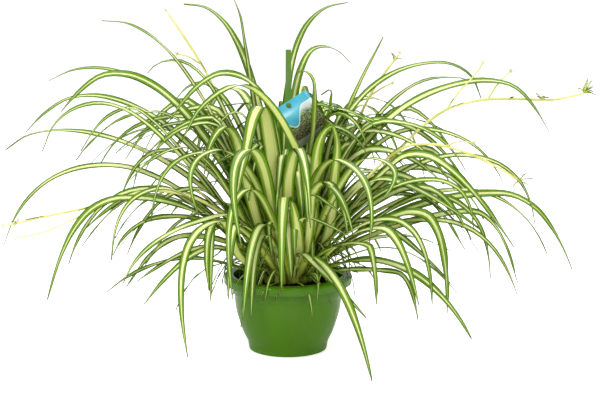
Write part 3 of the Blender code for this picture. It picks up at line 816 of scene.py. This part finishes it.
outline = [(0, 0.8), (49.5, 0.8)] + BOWL
outline += arc(COLLAR_OUTSIDE - 0.8, COLLAR_BOTTOM + 0.4, 0.8, -90, 0, 4)
outline += [(COLLAR_OUTSIDE, POT_TOP - WALL - 1)]
outline += arc(LIP_OUTSIDE - WALL - 1, POT_TOP - WALL - 1, 1, 90, 0, 3)
outline += arc(LIP_OUTSIDE - WALL + 0.6, LIP_BOTTOM + 0.6, 0.6, 180, 270, 3)
outline += arc(LIP_OUTSIDE - 0.6, LIP_BOTTOM + 0.6, 0.6, 270, 360, 4)
outline += arc(LIP_OUTSIDE - 4, POT_TOP - 4, 4, 0, 90, 9)
outline += arc(COLLAR_OUTSIDE - WALL + 2, POT_TOP - 2, 2, 90, 180, 6)
outline += [(COLLAR_OUTSIDE - WALL, COLLAR_BOTTOM + 0.5)]
outline += [(radius - WALL, height) for radius, height in reversed(BOWL) if height > FLOOR_TOP + 2]
outline += [(50.5, FLOOR_TOP), (0, FLOOR_TOP)]
print("the pot's outline has", len(outline), "points")

# %% Pot and its drain holes
DRAIN_CIRCLE = 34 * MM
DRAIN_RADIUS = 4 * MM
DRAIN_HOLES = 5
pot = place_piece("planter_bowl", turned(outline, 144), [pot_plastic], "pot_plastic", "pot")
drill = bmesh.new()
for hole in range(DRAIN_HOLES):
    turn = math.tau * hole / DRAIN_HOLES
    put = Matrix.Translation((DRAIN_CIRCLE * math.cos(turn), DRAIN_CIRCLE * math.sin(turn), 0))
    bmesh.ops.create_cone(drill, cap_ends=True, segments=32, radius1=DRAIN_RADIUS, radius2=DRAIN_RADIUS,
                          depth=12 * MM, matrix=put)


def cut_away(piece, cutter_mesh):
    """Cuts a bmesh out of a piece for good, and removes the cutter."""
    data = bpy.data.meshes.new("cutter")
    cutter_mesh.to_mesh(data)
    cutter_mesh.free()
    cutter = bpy.data.objects.new("cutter", data)
    bpy.context.scene.collection.objects.link(cutter)
    boolean = piece.modifiers.new("cut", "BOOLEAN")
    boolean.operation = "DIFFERENCE"
    boolean.solver = "EXACT"
    boolean.object = cutter
    graph = bpy.context.evaluated_depsgraph_get()
    cut = bpy.data.meshes.new_from_object(piece.evaluated_get(graph))
    piece.modifiers.clear()
    piece.data = cut
    bpy.data.objects.remove(cutter)


cut_away(pot, drill)
sharpen(pot, 32)
print("the pot has", len(pot.data.polygons), "faces")

# %% [markdown]
# ## Potting soil
# Peat compost is almost black, crumbly, and dotted with pale grains. A bump map alone would leave a flat
# disc, so the surface is really uneven: a fine round sheet is pushed up and down by noise, and loose
# crumbs lie on it. The crumbs are small and many, so each has only twenty faces.

# %% Soil finish
def soil_finish(name, dark, light, scale):
    made, tree, shader = new_material(name, Specular_IOR_Level=0.25)
    spot = add_node(tree, "ShaderNodeTexCoord").outputs["Object"]
    lumps = noise(tree, spot, scale, 6.0)
    fibres = noise(tree, spot, scale * 5, 3.0)
    colour = mixed(tree, ramp(tree, lumps, 0.35, 0.7), dark, light)
    tree.links.new(colour, shader.inputs["Base Color"])
    tree.links.new(ramp(tree, fibres, 0.3, 0.7, 0.7, 1.0), shader.inputs["Roughness"])
    bumped(tree, shader, arithmetic(tree, "MULTIPLY_ADD", lumps, 2.0, fibres), 1.5 * MM, 0.9)
    return made


peat = soil_finish("peat", rgb(22, 17, 12), rgb(58, 46, 32), 160.0)
perlite = soil_finish("perlite_grains", rgb(190, 184, 168), rgb(232, 228, 214), 300.0)
print("two soil finishes made")

# %% Soil body and crumbs
SOIL_TOP = 98.8
SOIL_GAP = 0.3
SOIL_RINGS = 26
CRUMB_LEVEL = 99.6 * MM
SOIL_EDGE = COLLAR_OUTSIDE - WALL - SOIL_GAP
sides_of_soil = [(0, 2.6), (48.5, 2.6)]
sides_of_soil += [(radius - WALL - SOIL_GAP, height) for radius, height in BOWL if height > 4]
rings_of_soil = [(SOIL_EDGE * (1 - step / SOIL_RINGS), SOIL_TOP) for step in range(SOIL_RINGS + 1)]
soil_mesh = turned(sides_of_soil + rings_of_soil, 96)
for vert in soil_mesh.verts:
    if vert.co.z > 98 * MM:
        lump = field.noise(vert.co * 70) + 0.6 * field.noise(vert.co * 210)
        vert.co.z += 2.2 * MM * lump + 1.2 * MM * (1 - vert.co.xy.length / (SOIL_EDGE * MM))
place_piece("soil_surface", soil_mesh, [peat], "soil", "potting_soil")


def scatter_crumbs(name, finish, count, smallest, largest):
    mesh = bmesh.new()
    for _ in range(count):
        radius = SOIL_EDGE * MM * math.sqrt(chance.uniform(0.05, 0.93))
        angle = chance.uniform(0, math.tau)
        size = chance.uniform(smallest, largest) * MM
        put = Matrix.Translation((radius * math.cos(angle), radius * math.sin(angle),
                                  CRUMB_LEVEL + 0.3 * size))
        turn = Matrix.Rotation(chance.uniform(0, math.tau), 4, (chance.random(), 1, chance.random()))
        shape = Matrix.Diagonal((size, size * chance.uniform(0.6, 1), size * chance.uniform(0.5, 0.8), 1))
        bmesh.ops.create_icosphere(mesh, subdivisions=1, radius=1, matrix=put @ turn @ shape)
    return place_piece(name, mesh, [finish], "soil")


crumbs = scatter_crumbs("soil_crumbs", peat, 520, 0.9, 2.8)
grains = scatter_crumbs("perlite", perlite, 46, 0.6, 1.3)
sharpen(crumbs, 20)
sharpen(grains, 20)
print(len(crumbs.data.polygons), "faces of crumbs")

# %% [markdown]
# ## The crown
# Under the leaves sits the crown, where every leaf starts as a pale folded sheath. A plain dome would show
# between the leaves, so a low turned core is wrapped in short sheaths that lean outwards and overlap.

# %% Crown core and sheaths
core = turned([(0, 99.5), (34, 99.5), (35, 101), (33, 104.2), (26, 106.6), (14, 107.2), (0, 107.3)], 40)
for vert in core.verts:
    turn = math.atan2(vert.co.y, vert.co.x)
    vert.co.xy *= 1 + 0.04 * math.sin(17 * turn) + 0.03 * math.sin(29 * turn + 2)


def husk_finish():
    made, tree, shader = new_material("crown_husk", Specular_IOR_Level=0.3)
    spot = add_node(tree, "ShaderNodeTexCoord").outputs["Object"]
    tall = add_node(tree, "ShaderNodeMapping", {"Vector": spot, "Scale": (1, 1, 0.15)}).outputs[0]
    fibres = noise(tree, tall, 420.0, 3.0)
    patches = noise(tree, spot, 60.0, 3.0)
    colour = mixed(tree, ramp(tree, patches, 0.4, 0.65), rgb(176, 182, 102), rgb(118, 108, 62))
    colour = mixed(tree, ramp(tree, fibres, 0.45, 0.7), colour, rgb(96, 84, 48))
    tree.links.new(colour, shader.inputs["Base Color"])
    tree.links.new(ramp(tree, fibres, 0.3, 0.7, 0.5, 0.75), shader.inputs["Roughness"])
    bumped(tree, shader, fibres, 0.4 * MM, 0.8)
    return made


place_piece("crown_core", core, [husk_finish()], "leaf_base", "crown")
SHEATHS = 70
sheaths = new_blades()
for _ in range(SHEATHS):
    direction = chance.uniform(0, 360)
    distance = chance.uniform(10, 38)
    length = chance.uniform(1.5, 5)
    lean = chance.uniform(0.6, 1.3) * distance / 38
    add_arching_leaf(sheaths, direction, (distance / 10 + lean * length * 0.8, 10.2 + length),
                     (distance / 10 + lean * length, 10.2 + length * 1.04), chance.uniform(3, 6.5),
                     root=distance * MM, tone=0.7, centre=chance.uniform(0.3, 0.8), rise=0.5)
place_blades("crown_sheaths", sheaths)
print("crown with", SHEATHS, "sheaths")

# %% [markdown]
# ## Stake, card and peg
# A plastic stake stands in the soil, and a printed card hangs on it from a peg. The card is thin and a
# little curved, the stake has a soft raised rib, and the peg is a domed button. Only plain colour fields
# and a patch of garden green are printed on the card, with no words.

# %% Stake
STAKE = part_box("label_stake")
stake_middle = (STAKE[0] + STAKE[1]) / 2
stake_size = STAKE[1] - STAKE[0]
STAKE_POINT_LENGTH = 25 * MM
STAKE_NARROWS_AT = 0.22
stake_mesh = bmesh.new()
put = Matrix.Translation(stake_middle) @ Matrix.Diagonal((stake_size.x, stake_size.y, stake_size.z, 1))
bmesh.ops.create_cube(stake_mesh, size=1, matrix=put)
for height in (STAKE[0].z + STAKE_POINT_LENGTH, STAKE_NARROWS_AT):
    everything = list(stake_mesh.verts) + list(stake_mesh.edges) + list(stake_mesh.faces)
    bmesh.ops.bisect_plane(stake_mesh, geom=everything, plane_co=(0, 0, height), plane_no=(0, 0, 1))
STAKE_TAPER = 0.68
STAKE_TIP = 0.08
for vert in stake_mesh.verts:
    taper = STAKE_TIP if vert.co.z < STAKE[0].z + MM else STAKE_TAPER if vert.co.z > STAKE[1].z - MM else 1
    vert.co.x = stake_middle.x + (vert.co.x - stake_middle.x) * taper
face_front = [face for face in stake_mesh.faces if face.normal.y < -0.9 and face.calc_center_median().z > 0.1]
bmesh.ops.inset_region(stake_mesh, faces=face_front, thickness=2.2 * MM, depth=-0.25 * MM)
long_edges = [edge for edge in stake_mesh.edges if edge.calc_face_angle(0) > 0.5]
bmesh.ops.bevel(stake_mesh, geom=long_edges, offset=0.3 * MM, affect="EDGES", segments=2, profile=0.5,
                material=-1)
stake = place_piece("care_stake", stake_mesh, [stake_plastic], "stake_plastic", "label_stake")
sharpen(stake, 35)
print("the stake has", len(stake.data.polygons), "faces")

# %% Card print
def card_finish():
    """Printed card: a blue band with a round bulge, a garden picture and a pale strip below it."""
    made, tree, shader = new_material("printed_card", Specular_IOR_Level=0.5, Coat_Roughness=0.2)
    shader.inputs["Coat Weight"].default_value = 0.3
    print_map = add_node(tree, "ShaderNodeUVMap", uv_map="card")
    split = add_node(tree, "ShaderNodeSeparateXYZ", {"Vector": print_map.outputs["UV"]})
    x, y = split.outputs["X"], split.outputs["Y"]
    near_left = arithmetic(tree, "ABSOLUTE", arithmetic(tree, "SUBTRACT", x, 0.3))
    bulge = ramp(tree, near_left, 0.42, 0.0, 0.0, 0.36)
    band_edge = arithmetic(tree, "SUBTRACT", 0.8, bulge)
    above = arithmetic(tree, "SUBTRACT", y, band_edge)
    band = ramp(tree, above, -0.004, 0.004)
    trim = ramp(tree, arithmetic(tree, "ABSOLUTE", arithmetic(tree, "ADD", above, 0.02)), 0.02, 0.012)
    leafy = noise(tree, print_map.outputs["UV"], 26.0, 6.0)
    clumps = noise(tree, print_map.outputs["UV"], 7.0, 3.0)
    greens = mixed(tree, ramp(tree, leafy, 0.36, 0.66), rgb(52, 60, 30), rgb(158, 180, 122))
    browns = mixed(tree, ramp(tree, leafy, 0.4, 0.62), rgb(62, 48, 40), rgb(150, 134, 112))
    low_down = arithmetic(tree, "MULTIPLY_ADD", y, 0.9, clumps)
    garden = mixed(tree, ramp(tree, low_down, 1.0, 0.6), greens, browns)
    sky_line = arithmetic(tree, "MULTIPLY_ADD", clumps, 0.16, y)
    picture = mixed(tree, ramp(tree, sky_line, 0.66, 0.8), garden, rgb(206, 216, 214))
    strip = mixed(tree, ramp(tree, leafy, 0.4, 0.7), rgb(206, 208, 208), rgb(176, 180, 184))
    picture = mixed(tree, ramp(tree, y, 0.15, 0.142), picture, strip)
    picture = mixed(tree, trim, picture, rgb(201, 233, 228))
    blue = mixed(tree, ramp(tree, clumps, 0.3, 0.7), rgb(58, 166, 196), rgb(74, 180, 200))
    tree.links.new(mixed(tree, band, picture, blue), shader.inputs["Base Color"])
    tree.links.new(ramp(tree, leafy, 0.2, 0.8, 0.32, 0.45), shader.inputs["Roughness"])
    bumped(tree, shader, leafy, 0.03 * MM, 0.4)
    return made


printed_card = card_finish()
print("card print made")

# %% Card
CARD_WIDTH = 54 * MM
CARD_HEIGHT = 64 * MM
CARD_THICKNESS = 0.6 * MM
CARD_TILT = math.radians(33)
PEG_FROM_LEFT = 22 * MM
PEG_FROM_TOP = 5 * MM
PEG_PLACE = (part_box("label_peg")[0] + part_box("label_peg")[1]) / 2

card_mesh = bmesh.new()
bmesh.ops.create_grid(card_mesh, x_segments=1, y_segments=1, size=0.5)
flat = Matrix.Diagonal((CARD_WIDTH, CARD_HEIGHT, 1, 1))
bmesh.ops.transform(card_mesh, matrix=flat, verts=card_mesh.verts)
bmesh.ops.bevel(card_mesh, geom=card_mesh.verts[:], offset=4 * MM, affect="VERTICES", segments=6, profile=0.5,
                material=-1)
for step in range(1, 12):
    everything = list(card_mesh.verts) + list(card_mesh.edges) + list(card_mesh.faces)
    bmesh.ops.bisect_plane(card_mesh, geom=everything, plane_co=(CARD_WIDTH * (step / 12 - 0.5), 0, 0),
                           plane_no=(1, 0, 0))
card_map = card_mesh.loops.layers.uv.new("card")
for face in card_mesh.faces:
    for loop in face.loops:
        loop[card_map].uv = (loop.vert.co.x / CARD_WIDTH + 0.5, loop.vert.co.y / CARD_HEIGHT + 0.5)
CARD_CURVE = 2.2 * MM
for vert in card_mesh.verts:
    vert.co.z = -CARD_CURVE * (2 * vert.co.x / CARD_WIDTH + 0.3) ** 2
to_peg = Matrix.Translation((CARD_WIDTH / 2 - PEG_FROM_LEFT, PEG_FROM_TOP - CARD_HEIGHT / 2, 0))
stand = Matrix.Rotation(math.pi / 2, 4, "X")
card_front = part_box("label_card")[0].y
hang = Matrix.Translation((PEG_PLACE.x, card_front, PEG_PLACE.z)) @ Matrix.Rotation(-CARD_TILT, 4, "Y")
bmesh.ops.transform(card_mesh, matrix=hang @ stand @ to_peg, verts=card_mesh.verts)
card = place_piece("care_card", card_mesh, [printed_card], "label_card", "label_card")
card_solid = card.modifiers.new("thickness", "SOLIDIFY")
card_solid.thickness = CARD_THICKNESS
card_solid.offset = -1
print("the card faces", card.data.polygons[0].normal)

# %% Peg
# The shank passes half the stake, the card, and a little slack on both sides of the card.
HALF_STAKE, SLACK = 0.8, 0.3
front = HALF_STAKE + SLACK + CARD_THICKNESS / MM + SLACK
peg_outline = [(0, -2.1), (2.6, -2.1), (3, -1.8), (3, -1.1), (2, -1.1)]
peg_outline += [(2, front), (3.2, front), (3.5, front + 0.3)]
peg_outline += arc(2.3, front + 0.3, 1.2, 0, 90, 5)[1:] + [(0, front + 1.6)]
peg_mesh = turned(peg_outline, 28)
put = Matrix.Translation((PEG_PLACE.x, 0, PEG_PLACE.z)) @ Matrix.Rotation(math.pi / 2, 4, "X")
bmesh.ops.transform(peg_mesh, matrix=put, verts=peg_mesh.verts)
peg = place_piece("card_peg", peg_mesh, [stake_plastic], "stake_plastic", "label_peg")
sharpen(peg, 35)

# %% [markdown]
# ## Flower stalks
# A spider plant sends out thin yellow-green stalks with white star flowers and, at their ends, small new
# plants. A stalk is a flat grid rolled into a tube, laid along a smooth route and thinned towards its end,
# in the same way as a blade. Rolling a grid keeps the rings even, and both ends close to a point. The stalk
# swells a little at each joint, where a small leaf wraps it.

# %% Stalk routes
STALKS = {
    "flower_stalk_right_high": [
        [(1.7, 0.2, 11), (5, -0.6, 15.5), (9.4, -1.5, 21), (15.6, -2, 29), (20.8, -2.2, 33.8),
         (26, -2.2, 35.6), (31.4, -2, 35.8), (36.7, -1.8, 35.7), (40.8, -1.8, 36.6)],
        [(21.8, -2.2, 34.3), (23.3, -2.8, 36.7), (25.6, -3.2, 39.4), (26.6, -3.4, 41)],
        [(27.4, -2.2, 35.7), (28.8, -1.4, 37.7), (30.6, -1, 39.5)],
    ],
    "flower_stalk_right_low": [
        [(1.5, -0.8, 11), (8, -3.4, 21.5), (14.5, -5.2, 28.8), (19, -6, 30.2), (24, -6.5, 29.2),
         (29, -7, 26.9), (31.5, -7, 25.2)],
        [(21.4, -6.2, 29.9), (23, -7.6, 30.8), (24.8, -8.4, 30.8)],
    ],
    "flower_stalk_up_right": [
        [(0.7, 1.6, 11), (5, 2.4, 20), (9.2, 3, 30.5), (12, 3.2, 36.5), (15.6, 3.4, 41.5)],
        [(11.6, 3.2, 35.6), (13.2, 2.4, 36.8), (14.4, 2.2, 37.4)],
    ],
    "flower_stalk_left": [
        [(-1.5, -0.8, 11), (-6, -5, 18), (-12.2, -7, 22.8), (-18.8, -7.5, 24), (-25, -7.5, 22.2),
         (-33.2, -7.5, 20.4), (-38.4, -7.5, 19.2)],
        [(-24.6, -7.5, 22.4), (-27.6, -8.6, 21), (-32.4, -9.6, 18.9), (-36.4, -9.8, 18)],
    ],
    "flower_stalk_up_left": [
        [(-1.4, 1, 11), (-4.5, 2, 20), (-7.8, 2.6, 30.5), (-11.4, 3, 38.8), (-14.4, 3, 43.8),
         (-16.8, 3, 47.4)],
        [(-12.2, 3, 40.1), (-13.8, 2, 41.2), (-15.2, 1.6, 41.6)],
    ],
}


def cm(point):
    return Vector(point) * CM


def lay_stem(mesh, line, thick, thin, sides=8, joints=6, swell=0.22):
    """Rolls a grid into a closed round stem along a line, with a slight swelling at each joint."""
    stations = len(line)
    sheet = bmesh.ops.create_grid(mesh, x_segments=sides, y_segments=stations - 1, size=0.5)["verts"]
    for vert in sheet:
        angle, share = math.tau * vert.co.x, vert.co.y + 0.5
        index = min(max(round(share * (stations - 1)), 0), stations - 1)
        run = line[min(index + 1, stations - 1)] - line[max(index - 1, 0)]
        turn = run.to_track_quat("Z", "Y")
        joint = max(0, math.cos(joints * math.tau * share)) ** 8
        radius = (thick + (thin - thick) * share) * (1 + swell * joint)
        if index in (0, stations - 1):
            radius = 0
        vert.co = line[index] + turn @ Vector((math.sin(angle) * radius, math.cos(angle) * radius, 0))
    bmesh.ops.remove_doubles(mesh, verts=sheet, dist=0.001 * MM)


def stalk_finish():
    made, tree, shader = new_material("stalk_green", Specular_IOR_Level=0.4, Subsurface_Weight=0.1,
                                      Subsurface_Scale=0.002)
    spot = add_node(tree, "ShaderNodeTexCoord").outputs["Object"]
    patches = noise(tree, spot, 26.0, 3.0)
    fine = noise(tree, spot, 700.0, 2.0)
    colour = mixed(tree, ramp(tree, patches, 0.35, 0.68), rgb(232, 230, 150), rgb(204, 202, 106))
    colour = mixed(tree, ramp(tree, fine, 0.55, 0.75, 0.0, 0.4), colour, rgb(168, 172, 76))
    tree.links.new(colour, shader.inputs["Base Color"])
    tree.links.new(ramp(tree, fine, 0.3, 0.7, 0.35, 0.5), shader.inputs["Roughness"])
    bumped(tree, shader, fine, 0.1 * MM, 0.5)
    return made


stalk_green = stalk_finish()
stalk_lines = {name: [curve_through([cm(point) for point in run], 60) for run in runs]
               for name, runs in STALKS.items()}
for name, lines in stalk_lines.items():
    stem = bmesh.new()
    lay_stem(stem, lines[0], 2.4 * MM, 1.5 * MM, sides=10, joints=7)
    for line in lines[1:]:
        lay_stem(stem, line, 1.3 * MM, 0.8 * MM, joints=3)
    place_piece(name.replace("flower_stalk", "stalk"), stem, [stalk_green], "flower_stalk", name)
print(len(STALKS), "stalks made")

# %% [markdown]
# ## Flowers, buds and small new plants
# A flower has six narrow petals round a few yellow stamens, and is only about 15 mm across. A bud is the same
# petals still closed. A new plant is a tiny copy of the big one, so it is made with the same blades.

# %% Flower finish
def petal_finish(name, first, second):
    made, tree, shader = new_material(name, Specular_IOR_Level=0.3, Subsurface_Weight=0.2,
                                      Subsurface_Scale=0.002)
    spot = add_node(tree, "ShaderNodeTexCoord").outputs["Object"]
    veins_of_petal = noise(tree, spot, 900.0, 2.0)
    colour = mixed(tree, ramp(tree, veins_of_petal, 0.4, 0.7), first, second)
    tree.links.new(colour, shader.inputs["Base Color"])
    tree.links.new(ramp(tree, veins_of_petal, 0.3, 0.7, 0.45, 0.6), shader.inputs["Roughness"])
    bumped(tree, shader, veins_of_petal, 0.08 * MM, 0.5)
    return made


petal_white = petal_finish("petal_white", rgb(250, 250, 226), rgb(226, 234, 172))
stamen_yellow = petal_finish("stamen_yellow", rgb(226, 206, 66), rgb(196, 172, 44))


def add_petal(mesh, put, length, width):
    """A pointed petal from the middle of a small grid."""
    petal = bmesh.ops.create_grid(mesh, x_segments=2, y_segments=5, size=0.5)["verts"]
    for vert in petal:
        share = vert.co.y + 0.5
        wide = width * math.sin(math.pi * min(0.04 + 0.92 * share, 1)) ** 0.7
        lift = 0.25 * length * share**2
        vert.co = put @ Vector((vert.co.x * wide, length * share, lift - abs(vert.co.x) * 0.3 * wide))


def add_flower(mesh, place, outward, length=8 * MM, openness=70):
    aim = outward.to_track_quat("Z", "Y").to_matrix().to_4x4()
    for petal in range(6):
        turn = Matrix.Rotation(math.tau * petal / 6 + chance.uniform(-0.1, 0.1), 4, "Z")
        tip_back = Matrix.Rotation(math.radians(90 - openness + chance.uniform(-8, 8)), 4, "X")
        put = Matrix.Translation(place) @ aim @ turn @ tip_back
        add_petal(mesh, put, length * chance.uniform(0.85, 1.1), 0.36 * length)


print("two flower finishes made")

# %% Flowers on the stalks
FLOWERS = [
    ("flower_stalk_right_high", 1, 1.0, 7, 65),
    ("flower_stalk_right_high", 2, 1.0, 8, 80),
    ("flower_stalk_up_right", 0, 1.0, 6, 60),
    ("flower_stalk_up_right", 1, 1.0, 6, 40),
    ("flower_stalk_left", 0, 1.0, 8, 40),
    ("flower_stalk_left", 1, 1.0, 6, 30),
    ("flower_stalk_up_left", 0, 1.0, 6, 30),
    ("flower_stalk_up_left", 1, 1.0, 7, 50),
    ("flower_stalk_right_low", 1, 1.0, 8, 55),
    ("flower_stalk_right_high", 0, 0.93, 5, 30),
]
petals = bmesh.new()
stamens = bmesh.new()
for name, run, share, length, openness in FLOWERS:
    line = stalk_lines[name][run]
    at = line[round(share * (len(line) - 1))]
    outward = (line[-1] - line[-6]).normalized() + Vector((0, -0.4, 0.5 if share < 1 else 0.1))
    add_flower(petals, at, outward, length * MM, openness)
    for _ in range(5):
        way = outward.normalized() + Vector((chance.uniform(-0.5, 0.5) for _ in range(3)))
        stamen_line = evenly([at, at + way * 0.45 * length * MM], 4)
        lay_stem(stamens, stamen_line, 0.25 * MM, 0.5 * MM, sides=5, joints=1)
flower_petals = place_piece("flower_petals", petals, [petal_white], "flower_stalk")
petal_solid = flower_petals.modifiers.new("thickness", "SOLIDIFY")
petal_solid.thickness = 0.3 * MM
place_piece("flower_stamens", stamens, [stamen_yellow], "flower_stalk")
print(len(FLOWERS), "flowers made")


# %% Small new plants and the leaves at the joints
def add_small_leaf(mesh, place, way, length, width, droop=0.5, tone=1.0, centre=0.5):
    """A short blade from a place, setting off along way and drooping."""
    way = way.normalized()
    middle = place + way * length * 0.55
    end = middle + (way + Vector((0, 0, -droop))).normalized() * length * 0.5
    side = way.cross(Vector((0, 0, 1)))
    side = side.normalized() if side.length > 0.1 else Vector((1, 0, 0))
    line = curve_through([place, middle, end], 12)
    widths = [width * 0.5, width * 0.9, width, width * 0.85, width * 0.5, width * 0.08]
    lay_blade(mesh, line, side, widths, tone=tone, centre=centre, gutter=0.3)


NEW_PLANTS = [
    ("flower_stalk_right_high", 0, 1.0, 12, 22),
    ("flower_stalk_right_high", 0, 0.8, 4, 12),
    ("flower_stalk_right_high", 0, 0.88, 4, 14),
    ("flower_stalk_up_right", 0, 0.97, 4, 14),
    ("flower_stalk_left", 0, 0.97, 4, 10),
    ("flower_stalk_right_low", 0, 1.0, 6, 18),
]
small_plants = new_blades()
for name, run, share, count, length in NEW_PLANTS:
    line = stalk_lines[name][run]
    at = line[round(share * (len(line) - 1))]
    onward = (line[-1] - line[-6]).normalized()
    for _ in range(count):
        way = onward * 0.5 + Vector((chance.uniform(-1, 1), chance.uniform(-1, 1), chance.uniform(-0.2, 1.3)))
        add_small_leaf(small_plants, at, way, length * chance.uniform(0.6, 1.1) * MM, 3 * MM, centre=0.8)
place_blades("small_new_plants", small_plants)

BRACTS = [
    ("flower_stalk_left", 0, 0.62, 60, 5),
    ("flower_stalk_left", 0, 0.3, 24, 4),
    ("flower_stalk_left", 0, 0.86, 30, 3),
    ("flower_stalk_right_high", 0, 0.42, 28, 5),
    ("flower_stalk_right_high", 0, 0.62, 20, 4),
    ("flower_stalk_right_high", 1, 0.1, 12, 3),
    ("flower_stalk_up_left", 0, 0.5, 30, 4),
    ("flower_stalk_up_left", 0, 0.75, 20, 4),
    ("flower_stalk_up_right", 0, 0.6, 24, 4),
    ("flower_stalk_right_low", 0, 0.5, 40, 6),
]
bracts = new_blades()
for name, run, share, length, width in BRACTS:
    line = stalk_lines[name][run]
    index = round(share * (len(line) - 1))
    way = (line[min(index + 2, len(line) - 1)] - line[index]).normalized() + Vector((0, -0.05, 0.12))
    add_small_leaf(bracts, line[index], way, length * MM, width * MM, droop=0.1, centre=0.8)
place_blades("stalk_bracts", bracts)
print(len(BRACTS), "bracts and", len(NEW_PLANTS), "new plants made")

# %% [markdown]
# ## The floor
# The floor is a wide pale sheet, far larger than the picture, so that no edge of it shows. It glows a
# little, but only where it is seen directly, so that it joins the white surround. The glow lights nothing.

# %% Floor
FLOOR_GLOW = 0.6
FLOOR_RADIUS = 6
floor_mesh = bmesh.new()
bmesh.ops.create_circle(floor_mesh, cap_ends=True, segments=96, radius=FLOOR_RADIUS)
bmesh.ops.translate(floor_mesh, vec=(0, 0, -0.3 * MM), verts=floor_mesh.verts)
floor_data = bpy.data.meshes.new("floor")
floor_mesh.to_mesh(floor_data)
floor_mesh.free()
floor = bpy.data.objects.new("floor", floor_data)
bpy.context.scene.collection.objects.link(floor)
floor_look, floor_tree, floor_shader = new_material("pale_floor", Specular_IOR_Level=0.1, Roughness=0.9)
floor_spot = add_node(floor_tree, "ShaderNodeTexCoord").outputs["Object"]
floor_shade = mixed(floor_tree, noise(floor_tree, floor_spot, 3.0), rgb(250, 250, 250), rgb(255, 255, 255))
floor_tree.links.new(floor_shade, floor_shader.inputs["Base Color"])
floor_tree.links.new(floor_shade, floor_shader.inputs["Emission Color"])
seen_floor = add_node(floor_tree, "ShaderNodeLightPath").outputs["Is Camera Ray"]
glow = arithmetic(floor_tree, "MULTIPLY", seen_floor, FLOOR_GLOW)
floor_tree.links.new(glow, floor_shader.inputs["Emission Strength"])
floor_data.materials.append(floor_look)
print("the floor is", 2 * FLOOR_RADIUS, "m across")
